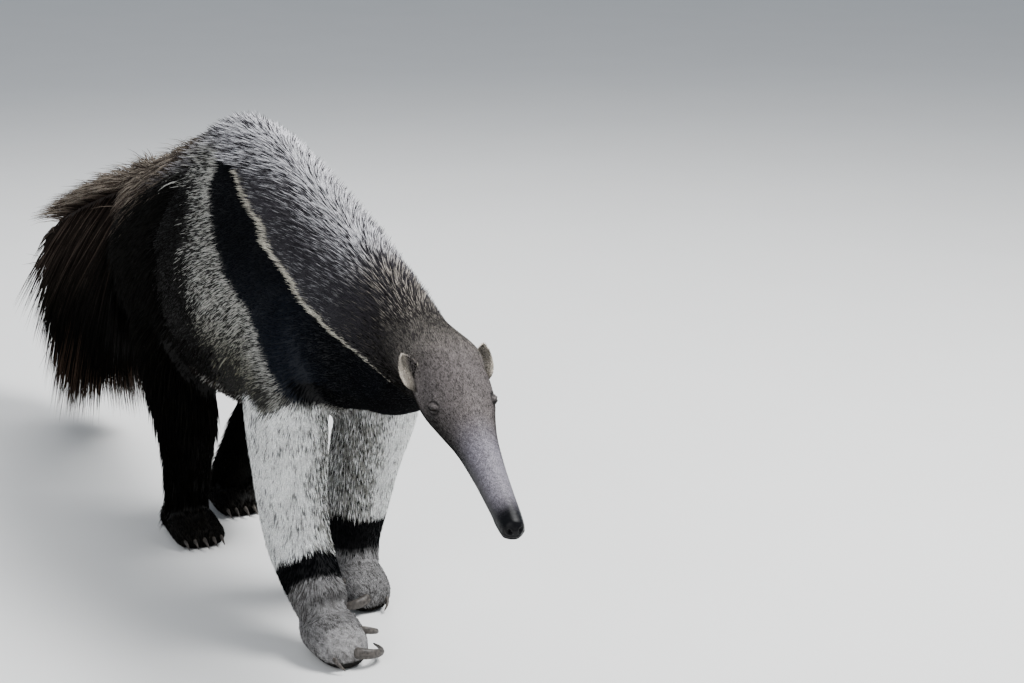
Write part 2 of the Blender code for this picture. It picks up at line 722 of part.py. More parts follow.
def main():
    for found in list(bpy.data.objects):
        bpy.data.objects.remove(found)

    pieces = {}
    trunk = trunk_and_head()
    head = copied(trunk, "head")
    forms = [trunk, tail()]
    for name, side in SIDES.items():
        forms.append(leg("foreleg", FORELEG_PATHS[name], FORELEG_GIRTH, side))
        forms.append(leg("hind_leg", HIND_LEG_PATHS[name], HIND_LEG_GIRTH, side))
        forms.append(foot("fist", FIST_AT[name], FIST, side))
        forms.append(foot("hind_foot", HIND_FOOT_AT[name], HIND_FOOT, side))
    body = resampled("torso", forms, BODY_CELL, BODY_TRIANGLES)

    grow_hair(body)

    # Level soles: everything under the floor goes
    floor = half_space((0, 0, 0), -UP)
    combine(body, floor, "DIFFERENCE")
    discard(floor)

    # The head keeps its own finer form; the body ends where it starts
    forward = head_frame()[0]
    nape = half_space(head_point(NAPE_CUT), forward, HEAD_ROOM)
    combine(head, nape, "INTERSECT")
    wide = grown(nape)
    combine(body, wide, "DIFFERENCE")
    discard(wide, nape)

    for name, side in SIDES.items():
        cutter = prism(FORELEG_REACH[name], mirrored_outline(FORELEG_OUTLINE, side))
        pieces["foreleg_" + name] = split(body, cutter, "foreleg_" + name)
        cutter = prism(HIND_REACH[name], mirrored_outline(HIND_OUTLINE, side))
        pieces["hind_leg_" + name] = split(body, cutter, "hind_leg_" + name)
    (x, z), (dx, dz) = TAIL_CUT
    pieces["tail"] = split(body, half_space((x, 0, z), (dx, 0, dz)), "tail")
    (x, z), (dx, dz) = NECK_CUT
    pieces["neck"] = split(body, half_space((x, 0, z), (dx, 0, dz)), "neck")
    pieces["torso"] = body
    pieces["head"] = head
    for name in SIDES:
        for leg_name, foot_name, joints in (("foreleg_", "forefoot_", WRISTS), ("hind_leg_", "hind_foot_", ANKLES)):
            (x, z), (dx, dz) = joints[name]
            cutter = half_space((x, 0, z), (dx, 0, dz))
            pieces[foot_name + name] = split(pieces[leg_name + name], cutter, foot_name + name)

    add_lids(head)
    shape_mouth(head)
    thin = head.modifiers.new("thin", "DECIMATE")
    thin.ratio = HEAD_SHARE
    apply_modifiers(head)
    for name, side in SIDES.items():
        eye = ball("eye_" + name, eye_centre(side), (EYE_RADIUS,) * 3, None, 12, 8)
        seat(eye, head)
        pieces["eye_" + name] = eye
        pieces["ear_" + name] = ear("ear_" + name, side, head)

    for name, side in SIDES.items():
        place = FIST_AT[name]
        for digit, (path, radius) in FORE_CLAWS.items():
            points = [side_place(place, x, inwards, z, side) for x, inwards, z in path]
            claw = bent_cone(f"foreclaw_{digit}_{name}", points, radius)
            seat(claw, pieces["forefoot_" + name])
            pieces[claw.name] = claw
        place = HIND_FOOT_AT[name]
        for i, spread in enumerate(HIND_CLAW_SPREAD):
            points = [side_place(place, x - abs(spread) * 0.25, spread, z, side) for x, z in HIND_CLAW]
            claw = bent_cone(f"hind_claw_{i + 1}_{name}", points, HIND_CLAW_RADIUS, 1)
            seat(claw, pieces["hind_foot_" + name])
            pieces[claw.name] = claw

    looks = {"head": "grey_fur", "ear": "grey_fur", "neck": "speckled_fur", "torso": "speckled_fur",
             "foreleg": "pale_fur", "forefoot": "pale_fur", "hind_leg": "dark_fur", "hind_foot": "dark_fur",
             "tail": "tail_fur", "foreclaw": "claw_horn", "hind_claw": "claw_horn", "eye": "eye_dark"}
    for name, thing in pieces.items():
        kind = max((key for key in looks if name.startswith(key)), key=len)
        dress(thing, looks[kind])

    # Origin at the middle of the box round the whole animal, on the floor
    bpy.context.view_layer.update()
    corners = [point.co for thing in pieces.values() for point in thing.data.vertices]
    middle_x = (min(p.x for p in corners) + max(p.x for p in corners)) / 2
    middle_y = (min(p.y for p in corners) + max(p.y for p in corners)) / 2
    for thing in pieces.values():
        thing.data.transform(Matrix.Translation((-middle_x, -middle_y, 0)))
    for cutter in list(collection("cutters").objects):
        bpy.data.objects.remove(cutter)


main()
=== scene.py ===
# The look of the giant anteater: one skin, its coat in solid tufts, eyes and claws, on a plain pale floor.
# Shapes are given in the body's own frame: +X the way it faces, +Y its left, +Z up, metres, floor at 0.
import math

import bmesh
import bpy
import numpy as np
from mathutils import Matrix, Vector


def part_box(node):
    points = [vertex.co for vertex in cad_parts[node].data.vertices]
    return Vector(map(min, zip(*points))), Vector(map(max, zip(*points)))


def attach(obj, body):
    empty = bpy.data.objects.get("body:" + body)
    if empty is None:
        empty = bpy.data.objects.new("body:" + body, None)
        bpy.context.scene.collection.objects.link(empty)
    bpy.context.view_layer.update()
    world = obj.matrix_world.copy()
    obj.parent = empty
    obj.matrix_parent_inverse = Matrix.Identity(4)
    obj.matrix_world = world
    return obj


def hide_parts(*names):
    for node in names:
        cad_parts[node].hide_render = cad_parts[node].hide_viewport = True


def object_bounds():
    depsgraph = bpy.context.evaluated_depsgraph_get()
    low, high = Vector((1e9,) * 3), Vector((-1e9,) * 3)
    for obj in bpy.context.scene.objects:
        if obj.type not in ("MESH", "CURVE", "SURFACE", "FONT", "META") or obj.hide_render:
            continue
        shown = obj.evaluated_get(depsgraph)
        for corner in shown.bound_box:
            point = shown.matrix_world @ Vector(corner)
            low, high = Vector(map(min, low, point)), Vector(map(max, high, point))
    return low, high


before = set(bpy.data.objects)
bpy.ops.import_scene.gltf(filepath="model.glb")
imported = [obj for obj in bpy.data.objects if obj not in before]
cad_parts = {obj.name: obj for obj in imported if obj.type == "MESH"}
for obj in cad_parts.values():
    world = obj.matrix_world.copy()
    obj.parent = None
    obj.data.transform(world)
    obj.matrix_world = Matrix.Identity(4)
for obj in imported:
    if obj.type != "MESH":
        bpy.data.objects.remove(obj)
CAD_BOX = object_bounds()

SIDES = {"right": -1, "left": 1}
UP = np.array([0.0, 0.0, 1.0])
LEFT = np.array([0.0, 1.0, 0.0])

# The body's forms, as the solids have them
TRUNK = [
    (-0.5, 0.545, -0.49, 0.4, 0.058, 0.2), (-0.43, 0.566, -0.42, 0.33, 0.096, 0.3),
    (-0.35, 0.597, -0.35, 0.28, 0.12, 0.4), (-0.22, 0.647, -0.22, 0.262, 0.132, 0.5),
    (-0.08, 0.696, -0.08, 0.256, 0.139, 0.6), (0.06, 0.69, 0.06, 0.266, 0.138, 0.6),
    (0.19, 0.652, 0.18, 0.292, 0.13, 0.6), (0.32, 0.61, 0.29, 0.328, 0.108, 0.5),
    (0.43, 0.573, 0.395, 0.352, 0.084, 0.4), (0.52, 0.538, 0.48, 0.366, 0.068, 0.2),
]
EARS_AT = np.array([0.633, -0.0085, 0.462])
SNOUT_END = np.array([0.8975, -0.0485, 0.336])
HEAD_ROLL = math.radians(4)
HEAD = [
    (-0.02, 0.053, 0.05, 0.066), (0.012, 0.049, 0.049, 0.058), (0.045, 0.0475, 0.045, 0.05),
    (0.085, 0.039, 0.036, 0.04), (0.13, 0.0285, 0.028, 0.0295), (0.18, 0.0225, 0.023, 0.0235),
    (0.235, 0.0188, 0.02, 0.0195), (0.275, 0.0168, 0.0175, 0.017), (0.292, 0.0138, 0.0142, 0.0138),
    (0.299, 0.007, 0.007, 0.007),
]
# An ear's root and tip on the head, how far each side's ear is shifted outwards, and its own measures
EAR_ROOT, EAR_TIP = (0.027, 0.044, 0.007), (-0.015, 0.054, 0.03)
EAR_SHIFT = {-1: 0.002, 1: -0.0035}
EAR_HALF = 0.0138
EAR_THICK = 0.0015
EAR_SUNK = 0.004
# The eye, how far its lids and folds reach, and the slit between the lids
EYE_RADIUS = 0.0068
EYE_PLACE = (0.0725, 0.0365, 0.0145)
EYE_REACH = 0.032
SLIT_HALF = 0.0078
SLIT_TILT = math.radians(24)
NOSTRIL_PLACE = (0.2955, 0.0065, 0.0045)
MOUTH_DROP = 0.0055
# The tail's core, and the lower hem of its hair (x, z)
TAIL = [
    (-0.4, 0.555, 0.36, 0.072), (-0.51, 0.552, 0.31, 0.06), (-0.62, 0.528, 0.27, 0.05),
    (-0.725, 0.498, 0.245, 0.045), (-0.85, 0.458, 0.215, 0.04), (-0.93, 0.43, 0.205, 0.036),
    (-1.0, 0.404, 0.22, 0.03), (-1.055, 0.375, 0.255, 0.02), (-1.075, 0.345, 0.285, 0.01),
]
HEM = [(-0.5, 0.225), (-0.59, 0.186), (-0.69, 0.125), (-0.752, 0.085), (-0.815, 0.034),
       (-0.855, 0.03), (-0.93, 0.042), (-1.02, 0.062), (-1.09, 0.092), (-1.15, 0.14)]
FORELEG_PATHS = {
    "right": [(0.262, 0.06, 0.5), (0.26, 0.078, 0.41), (0.257, 0.077, 0.32), (0.255, 0.072, 0.23),
              (0.266, 0.069, 0.155), (0.3, 0.066, 0.105), (0.345, 0.063, 0.065)],
    "left": [(0.252, 0.06, 0.5), (0.246, 0.078, 0.41), (0.226, 0.077, 0.32), (0.194, 0.071, 0.235),
             (0.164, 0.068, 0.15), (0.15, 0.066, 0.095), (0.158, 0.064, 0.05)],
}
HIND_LEG_PATHS = {
    "right": [(-0.24, 0.055, 0.48), (-0.23, 0.066, 0.38), (-0.218, 0.066, 0.29), (-0.212, 0.061, 0.2),
              (-0.22, 0.058, 0.12), (-0.228, 0.058, 0.05)],
    "left": [(-0.26, 0.055, 0.48), (-0.19, 0.066, 0.38), (-0.132, 0.066, 0.29), (-0.146, 0.061, 0.215),
             (-0.242, 0.058, 0.138), (-0.322, 0.058, 0.062)],
}
FORELEG_GIRTH = [(0.085, 0.05), (0.088, 0.06), (0.077, 0.06), (0.064, 0.055),
                 (0.056, 0.05), (0.047, 0.046), (0.04, 0.042)]
HIND_LEG_GIRTH = [(0.095, 0.052), (0.108, 0.06), (0.098, 0.058), (0.075, 0.047), (0.05, 0.04), (0.042, 0.036)]
FIST_AT = {"right": (0.365, 0.06), "left": (0.176, 0.06)}
FIST = [(-0.046, 0.03, 0.024, 0.026), (-0.036, 0.034, 0.037, 0.037), (-0.01, 0.036, 0.04, 0.043),
        (0.022, 0.032, 0.036, 0.043), (0.048, 0.025, 0.029, 0.038), (0.062, 0.02, 0.02, 0.028),
        (0.067, 0.018, 0.01, 0.016)]
HIND_FOOT_AT = {"right": (-0.216, 0.058), "left": (-0.338, 0.058)}
HIND_FOOT = [(-0.066, 0.02, 0.014, 0.018), (-0.058, 0.024, 0.028, 0.031), (-0.03, 0.03, 0.036, 0.037),
             (0.005, 0.027, 0.033, 0.042), (0.04, 0.019, 0.024, 0.044), (0.062, 0.014, 0.018, 0.04),
             (0.07, 0.012, 0.009, 0.028)]
LEGS = {"foreleg": (FORELEG_PATHS, FORELEG_GIRTH), "hind_leg": (HIND_LEG_PATHS, HIND_LEG_GIRTH)}
FEET = {"forefoot": (FIST_AT, FIST), "hind_foot": (HIND_FOOT_AT, HIND_FOOT)}
FORE_CLAWS = {
    "big": ([(0.04, 0.0, 0.024), (0.062, 0.012, 0.023), (0.067, 0.032, 0.02), (0.056, 0.05, 0.016),
             (0.034, 0.058, 0.013), (0.012, 0.058, 0.012)], 0.0095),
    "second": ([(0.016, 0.018, 0.042), (0.034, 0.036, 0.043), (0.032, 0.052, 0.038), (0.018, 0.061, 0.032),
                (0.002, 0.063, 0.028)], 0.0065),
    "small": ([(0.044, -0.02, 0.02), (0.062, -0.022, 0.018), (0.071, -0.018, 0.012), (0.075, -0.012, 0.006)],
              0.0048),
}
HIND_CLAW_SPREAD = [-0.03, -0.0155, 0.0, 0.0155, 0.029]
HIND_CLAW = [(0.044, 0.013), (0.066, 0.015), (0.078, 0.012), (0.088, 0.006)]
HIND_CLAW_RADIUS = 0.0052
# The claws are a little thinner than in the solids, so that they stay inside them
CLAW_FIT = 0.985

# The skin's cells, and each round of finer ones: how far round the eyes, and from where along the head
SKIN_CELL = 0.0052
FINER = [(0.0, -0.01), (0.02, 0.255), (0.016, 0.28), (0.0135, 1.0)]
# How deep the skin lies under each part's coat, and how much less on the face than on the trunk
COAT_DEPTH = {"trunk": 0.0055, "foreleg": 0.0045, "hind_leg": 0.0045, "forefoot": 0.0025, "hind_foot": 0.0025,
              "tail": 0.016}
FACE_THINNER = 0.0047
# The short coat: tufts per square metre, their length and their half width
SHORT_HAIR = {"hind_leg": (80000.0, 0.024, 0.0015), "foreleg": (190000.0, 0.01, 0.00085),
              "forefoot": (300000.0, 0.0052, 0.0006), "hind_foot": (200000.0, 0.0085, 0.00085),
              "tail": (0.0, 0.012, 0.00105)}
EAR_DENSITY = 1300000.0
# Half widths along a tuft as shares of its own, and its depth as a share of its half width
FINE = [1.0]
LONG = [0.8, 1.0, 0.65]
TUFT_DEPTH = 0.9
# Half the size of a tuft's patch in the bake, and the most triangles in one coat piece
PATCH_HALF = 0.0015
PIECE_TRIANGLES = 190000

# The black stripe on each side, seen from the side: its front edge carries the white line (z, x), top first
STRIPE_FRONT = [(0.64, 0.02), (0.631, 0.036), (0.6, 0.108), (0.581, 0.165), (0.557, 0.208), (0.537, 0.268),
                (0.517, 0.32), (0.494, 0.372), (0.479, 0.415), (0.468, 0.458), (0.457, 0.505), (0.442, 0.56),
                (0.4, 0.6)]
STRIPE_REAR = [(0.645, -0.045), (0.636, -0.035), (0.605, -0.014), (0.547, 0.078), (0.511, 0.145),
               (0.478, 0.219), (0.452, 0.278), (0.415, 0.311), (0.388, 0.322), (0.363, 0.336),
               (0.337, 0.338), (0.3, 0.345)]
# Where the pale band behind the stripe gives way to the dark hindquarters (z, x)
BAND_REAR = [(0.69, -0.2), (0.612, -0.085), (0.534, 0.005), (0.456, 0.05), (0.378, 0.06), (0.288, 0.05),
             (0.24, 0.06)]

# Colours, linear
BLACK = np.array([0.0011, 0.0014, 0.0021])
DARK = np.array([0.0019, 0.0017, 0.0014])
BROWN = np.array([0.05, 0.037, 0.03])
RUST = np.array([0.036, 0.023, 0.016])
CREAM = np.array([0.66, 0.62, 0.52])
WHITE = np.array([0.93, 0.94, 0.93])
SILVER = np.array([0.78, 0.77, 0.8])
GRIZZLE = np.array([0.5, 0.495, 0.455])
OLIVE = np.array([1.0, 0.98, 0.8])
NECK = np.array([0.048, 0.045, 0.051])
NAPE = np.array([0.27, 0.245, 0.215])
FACE = np.array([0.118, 0.104, 0.101])
HORN = np.array([0.085, 0.075, 0.066])
NOSE = np.array([0.002, 0.0021, 0.0027])
BEIGE = np.array([0.42, 0.36, 0.29])
EAR_PALE = np.array([0.45, 0.41, 0.35])
EAR_DULL = np.array([0.24, 0.21, 0.175])
HAND_PALE = np.array([0.27, 0.265, 0.265])
HAND_DARK = np.array([0.06, 0.056, 0.054])
# The snout's bluish tint is a painted sheen, the reflection of a bluish sky
SNOUT_SHEEN = np.array([0.93, 0.98, 1.16])
# The cells of the forelegs' grizzle are long and narrow, so that it comes in streaks
LEG_STREAKS = np.array([1.0, 1.0, 0.22])
# How much the rim of each ear is lit up, a painted light, and where across it the dark of the hollow ends:
# dark hair deepened by painted shade, which reaches further in the left ear
EAR_RIM = {-1: 0.7, 1: 1.3}
EAR_HOLLOW = {-1: 0.14, 1: 0.7}

CAMERA_AT = (3.298, -1.297, 1.25)
CAMERA_TILT, CAMERA_TURN = 75.9, 62.6
CAMERA_LENS = 85
FLOOR_HALF = 30

DICE = np.random.default_rng(11)


def unit(v):
    return v / np.maximum(np.linalg.norm(v, axis=-1, keepdims=True), 1e-9)


def smooth(low, high, value):
    share = np.clip((value - low) / (high - low), 0, 1)
    return share * share * (3 - 2 * share)


def bell(*offsets):
    """One at the middle, falling off to nothing: each offset comes divided by its own width."""
    return np.exp(-sum(offset ** 2 for offset in offsets))


def mixed(one, other, share):
    share = np.asarray(share)[..., None]
    return one * (1 - share) + other * share


def painted(colours, where, other):
    return np.where(where[:, None], other, colours)


def looked_up(table, value, source=0, target=1):
    """One column of a table read off at the given value of another."""
    rows = np.array(sorted(table, key=lambda row: row[source]))
    return np.interp(value, rows[:, source], rows[:, target])


def head_frame():
    forward = unit(SNOUT_END - EARS_AT)
    left = unit(np.array([-forward[1], forward[0], 0.0]))
    left = left * math.cos(HEAD_ROLL) + np.cross(forward, left) * math.sin(HEAD_ROLL)
    return forward, left, np.cross(forward, left)


AHEAD_OF_HEAD, LEFT_OF_HEAD, TOP_OF_HEAD = head_frame()


def head_point(along, out=0.0, above=0.0):
    return EARS_AT + AHEAD_OF_HEAD * along + LEFT_OF_HEAD * out + TOP_OF_HEAD * above


def eye_at(side):
    return head_point(EYE_PLACE[0], side * EYE_PLACE[1], EYE_PLACE[2])


# The solids are shifted as a whole, which the right eye's box gives
SHIFT = np.mean(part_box("eye_right"), axis=0) - eye_at(SIDES["right"])
# The coat keeps within this distance of the body's middle plane
WIDEST = (CAD_BOX[1][1] - CAD_BOX[0][1]) / 2 + 0.007


def smooth_rows(rows, steps):
    rows = np.array(rows, float)
    last = len(rows) - 1
    made = []
    for i in range(last):
        a, b, c, d = (rows[max(0, min(last, i + k))] for k in (-1, 0, 1, 2))
        for step in range(steps):
            t = step / steps
            made.append(0.5 * (2 * b + (c - a) * t + (2 * a - 5 * b + 4 * c - d) * t * t
                               + (3 * b - a - 3 * c + d) * t ** 3))
    made.append(rows[last])
    return np.array(made)


def oval(centre, side, up, half_width, rise, drop, pinch=0.0, count=40):
    angle = np.linspace(0, 2 * math.pi, count, endpoint=False)[:, None]
    lift = np.sin(angle)
    height = lift * np.where(lift > 0, rise, drop)
    narrow = 1 - pinch * np.maximum(0, lift) ** 1.5
    return centre + side * (half_width * narrow * np.cos(angle)) + up * height


def loft(rings):
    """Points and faces of one closed surface through the rings."""
    count, rows = len(rings[0]), len(rings)
    points = np.concatenate(rings)
    faces = []
    for r in range(rows - 1):
        for i in range(count):
            j = (i + 1) % count
            faces.append((r * count + i, r * count + j, (r + 1) * count + j, (r + 1) * count + i))
    faces.append(tuple(range(count)))
    faces.append(tuple((rows - 1) * count + i for i in range(count)))
    return points, faces


def trunk_and_head():
    rows = []
    for top_x, top_z, low_x, low_z, half_width, pinch in TRUNK:
        top, low_point = np.array([top_x, 0, top_z]), np.array([low_x, 0, low_z])
        half = (top - low_point) / 2
        length = np.linalg.norm(half)
        rows.append([*(top + low_point) / 2, *LEFT, *(half / length), half_width, length, length, pinch])
    for along, half_width, rise, drop in HEAD:
        rows.append([*head_point(along), *LEFT_OF_HEAD, *TOP_OF_HEAD, half_width, rise, drop, 0.0])
    return loft([oval(row[0:3], unit(row[3:6]), unit(row[6:9]), *row[9:13]) for row in smooth_rows(rows, 6)])


def upright_loft(rows, steps):
    return loft([oval(row[0:3], LEFT, UP, row[3], row[4], row[4]) for row in smooth_rows(rows, steps)])


def leg(path, girth, side):
    rows = smooth_rows([(x, side * out, z, *thick) for (x, out, z), thick in zip(path, girth)], 5)
    rings = []
    for i, row in enumerate(rows):
        along = unit(rows[min(i + 1, len(rows) - 1)][:3] - rows[max(i - 1, 0)][:3])
        across = unit(LEFT - along * LEFT.dot(along))
        rings.append(oval(row[:3], np.cross(across, along), across, row[3], row[4], row[4]))
    return loft(rings)


def foot(place, shape, side):
    return upright_loft([(place[0] + x, side * place[1], z, wide, high) for x, z, high, wide in shape], 4)


def linked_object(name, mesh):
    made = bpy.data.objects.new(name, mesh)
    bpy.context.scene.collection.objects.link(made)
    return made


def new_mesh_object(name, points, faces):
    mesh = bpy.data.meshes.new(name)
    mesh.from_pydata([tuple(p) for p in points], [], faces)
    builder = bmesh.new()
    builder.from_mesh(mesh)
    bmesh.ops.recalc_face_normals(builder, faces=builder.faces)
    builder.to_mesh(mesh)
    builder.free()
    return linked_object(name, mesh)


def applied(thing):
    graph = bpy.context.evaluated_depsgraph_get()
    mesh = bpy.data.meshes.new_from_object(thing.evaluated_get(graph))
    thing.modifiers.clear()
    thing.data = mesh


def mesh_points(mesh):
    points = np.empty(len(mesh.vertices) * 3)
    mesh.vertices.foreach_get("co", points)
    return points.reshape(-1, 3)


def mesh_normals(mesh):
    normals = np.empty(len(mesh.vertices) * 3, np.float32)
    mesh.vertex_normals.foreach_get("vector", normals)
    return normals.reshape(-1, 3).astype(float)


def set_points(mesh, points):
    mesh.vertices.foreach_set("co", np.ascontiguousarray(points, np.float32).ravel())
    mesh.update()


def body_axes():
    """Every part's middle line, with its rough radius at each point."""
    axes = {"trunk": [((a + c) / 2, 0, (b + d) / 2, (w + (b - d) / 2) / 2) for a, b, c, d, w, p in TRUNK],
            "head": [(*head_point(s), (w + r) / 2) for s, w, r, d in HEAD],
            "tail": [(x, 0, (t + b) / 2, (w + (t - b) / 2) / 2) for x, t, b, w in TAIL]}
    for name, side in SIDES.items():
        for kind, (paths, girth) in LEGS.items():
            axes[f"{kind}_{name}"] = [(x, side * y, z, (a + b) / 2)
                                      for (x, y, z), (a, b) in zip(paths[name][1:], girth[1:])]
        for kind, (places, shape) in FEET.items():
            ahead, out = places[name]
            axes[f"{kind}_{name}"] = [(ahead + x, side * out, z, (h + w) / 2) for x, z, h, w in shape[1:-1]]
    return {name: np.array(rows) for name, rows in axes.items()}


AXES = body_axes()
PARTS = list(AXES)


def locate(points):
    """For each point the part it belongs to, how far along that part it lies, and the angle round it."""
    best = np.full(len(points), 1e9)
    part = np.zeros(len(points), int)
    share = np.zeros(len(points))
    angle = np.zeros(len(points))
    for index, name in enumerate(PARTS):
        line, radii = AXES[name][:, :3], AXES[name][:, 3]
        steps = np.linalg.norm(np.diff(line, axis=0), axis=1)
        ends = np.concatenate([[0], np.cumsum(steps)])
        for i in range(len(steps)):
            way = (line[i + 1] - line[i]) / steps[i]
            t = np.clip((points - line[i]) @ way / steps[i], 0, 1)
            near = line[i] + t[:, None] * (line[i + 1] - line[i])
            off = points - near
            reach = np.linalg.norm(off, axis=1) / (radii[i] + t * (radii[i + 1] - radii[i]))
            closer = reach < best
            best[closer] = reach[closer]
            part[closer] = index
            share[closer] = ((ends[i] + t * steps[i]) / ends[-1])[closer]
            side = unit(np.cross(UP if abs(way[2]) < 0.8 else np.array([1.0, 0, 0]), way))
            lift = np.cross(way, side)
            angle[closer] = np.arctan2(off @ side, off @ lift)[closer]
    return part, share, angle


def unwrapped(part, share, angle):
    """The skin's own unwrap: an island for each part, along it and round it."""
    rooms = {"trunk": (0.02, 0.36, 0.6, 0.62), "tail": (0.64, 0.68, 0.34, 0.3),
             "head": (0.64, 0.36, 0.34, 0.3)}
    for i, name in enumerate(n for n in PARTS if n not in rooms):
        rooms[name] = (0.02 + 0.122 * i, 0.02, 0.108, 0.31)
    table = np.array([rooms[name] for name in PARTS])[part]
    turn = (angle / (2 * math.pi)) + 0.5
    wide = table[:, 2] > table[:, 3]
    u = table[:, 0] + table[:, 2] * np.where(wide, share, turn)
    v = table[:, 1] + table[:, 3] * np.where(wide, turn, share)
    return np.stack([u, v], 1)


def is_part(part, *starts):
    return np.isin(part, [i for i, name in enumerate(PARTS) if name.startswith(starts)])


def head_place(points):
    off = points - EARS_AT
    return off @ AHEAD_OF_HEAD, off @ LEFT_OF_HEAD, off @ TOP_OF_HEAD


def rough(points, scale, seed=0.0):
    """A smooth, slow variation between about -1 and 1."""
    x, y, z = (points * scale + seed).T
    return (np.sin(x * 1.7 + 1.3 * np.sin(y * 1.1 + seed)) + np.sin(y * 2.3 + 1.1 * np.sin(z * 1.7))
            + np.sin(z * 1.9 + 1.2 * np.sin(x * 1.3 + seed))) / 3


def build_skin():
    """All the forms melted into one surface, with finer cells on the head, round the eyes and at the tip."""
    forms = [trunk_and_head(), upright_loft([(x, 0, (t + b) / 2, w, (t - b) / 2) for x, t, b, w in TAIL], 5)]
    for name, side in SIDES.items():
        forms += [leg(paths[name], girth, side) for paths, girth in LEGS.values()]
        forms += [foot(places[name], shape, side) for places, shape in FEET.values()]
    builder = bmesh.new()
    for piece in [new_mesh_object("form", *form) for form in forms]:
        builder.from_mesh(piece.data)
        bpy.data.objects.remove(piece)
    mesh = bpy.data.meshes.new("skin")
    builder.to_mesh(mesh)
    builder.free()
    skin = linked_object("skin", mesh)
    melt = skin.modifiers.new("melt", "REMESH")
    melt.mode = "VOXEL"
    melt.voxel_size = SKIN_CELL
    ease = skin.modifiers.new("ease", "SMOOTH")
    ease.factor = 0.5
    ease.iterations = 10
    applied(skin)
    builder = bmesh.new()
    builder.from_mesh(skin.data)
    eyes = [Vector(eye_at(side)) for side in SIDES.values()]
    for reach, tip in FINER:
        edges = set()
        for face in builder.faces:
            centre = face.calc_center_median()
            along = (np.array(centre) - EARS_AT) @ AHEAD_OF_HEAD
            if along > -0.02 and centre.z > 0.3 and centre.x > 0.55:
                if along > tip or min((centre - eye).length for eye in eyes) < reach:
                    edges.update(face.edges)
        bmesh.ops.subdivide_edges(builder, edges=list(edges), cuts=1, use_grid_fill=True, smooth=0.0)
    bmesh.ops.triangulate(builder, faces=[face for face in builder.faces if len(face.verts) > 4])
    builder.to_mesh(skin.data)
    builder.free()
    return skin


def shape_skin(skin):
    """Draw the skin in under the coat, give the head its true form, and add lids, nostrils and mouth."""
    mesh = skin.data
    points, normals = mesh_points(mesh), mesh_normals(mesh)
    part, share, angle = locate(points)
    along, out, above = head_place(points)
    on_head = is_part(part, "head") & (along > -0.04)
    table = smooth_rows(HEAD, 6)
    width, rise, drop = (np.interp(along, table[:, 0], table[:, k]) for k in (1, 2, 3))
    height = np.where(above > 0, rise, drop)
    turn = np.arctan2(above / height, out / width)
    true_above = np.where(np.sin(turn) > 0, rise, drop) * np.sin(turn)
    true = head_point(along[:, None], (width * np.cos(turn))[:, None], true_above[:, None])
    share_true = np.where(on_head, smooth(0.0, 0.04, along) * (1 - smooth(0.288, 0.296, along)), 0)
    points = mixed(points, true, share_true)
    depth = np.full(len(points), COAT_DEPTH["trunk"])
    for start, under in COAT_DEPTH.items():
        depth[is_part(part, start)] = under
    ahead = COAT_DEPTH["trunk"] - FACE_THINNER * smooth(-0.13, 0.06, along)
    depth = np.where(points[:, 0] > 0.5, ahead, depth)
    points = points - normals * depth[:, None]
    for side in SIDES.values():
        points = shape_eye(points, side)
    points = shape_snout(points, normals)
    points[:, 2] = np.maximum(points[:, 2], 0.0008)
    set_points(mesh, points)


def eye_axes(side):
    """Outwards, along the slit (its front corner is the higher one) and up across it."""
    outward = unit(LEFT_OF_HEAD * side + TOP_OF_HEAD * 0.35 + AHEAD_OF_HEAD * 0.25)
    along = unit(AHEAD_OF_HEAD - outward * AHEAD_OF_HEAD.dot(outward))
    across = np.cross(along, outward) * side
    cos, sin = math.cos(SLIT_TILT), math.sin(SLIT_TILT)
    return outward, along * cos + across * sin, across * cos - along * sin


def shape_eye(points, side):
    """A low dome of skin over the eye: an arched upper lid, a slit, a lower lid and a crease above."""
    outward, along, across = eye_axes(side)
    off = points - eye_at(side)
    a, c, o = off @ along, off @ across, off @ outward
    length = np.abs(a)
    flat = np.hypot(a * 0.8, c)
    near = (np.linalg.norm(off, axis=1) < EYE_REACH) & (o > -0.014)
    dome_radius = EYE_RADIUS + 0.0009
    dome = np.sqrt(np.maximum(dome_radius ** 2 - flat ** 2, 0)) - 0.0002
    ends = np.sqrt(np.maximum(0, 1 - (a / SLIT_HALF) ** 2))
    lower, upper = -0.0022 * ends - 0.0002, 0.0004 * ends - 0.0002
    open_part = smooth(lower - 0.0002, lower + 0.0002, c) * smooth(upper + 0.0002, upper - 0.0002, c)
    open_part = open_part * (length < SLIT_HALF)
    fading = 1 - smooth(SLIT_HALF * 0.85, SLIT_HALF * 1.25, length)
    upper_rim = bell((c - upper - 0.0011) / 0.0009) * fading * 0.0006
    lower_rim = bell((lower - c - 0.0008) / 0.0007) * fading * 0.0005
    crease = bell((c - 0.0062 + 26 * a * a) / 0.001) * (1 - smooth(0.008, 0.012, length)) * 0.0006
    bag = bell((c + 0.0062 - 20 * a * a) / 0.001) * (1 - smooth(0.007, 0.01, length)) * 0.0003
    wanted = dome - 0.0024 * open_part + upper_rim + lower_rim
    blend = np.where(near, 1 - smooth(dome_radius * 0.8, dome_radius * 1.45, flat), 0)
    mound = 0.004 * bell(a / 0.0135, (c - 0.0015) / 0.0125) * (1 - blend) * near
    move = blend * np.maximum(wanted - o, -0.004) + mound - np.where(near, crease + bag, 0)
    return points + outward * move[:, None]


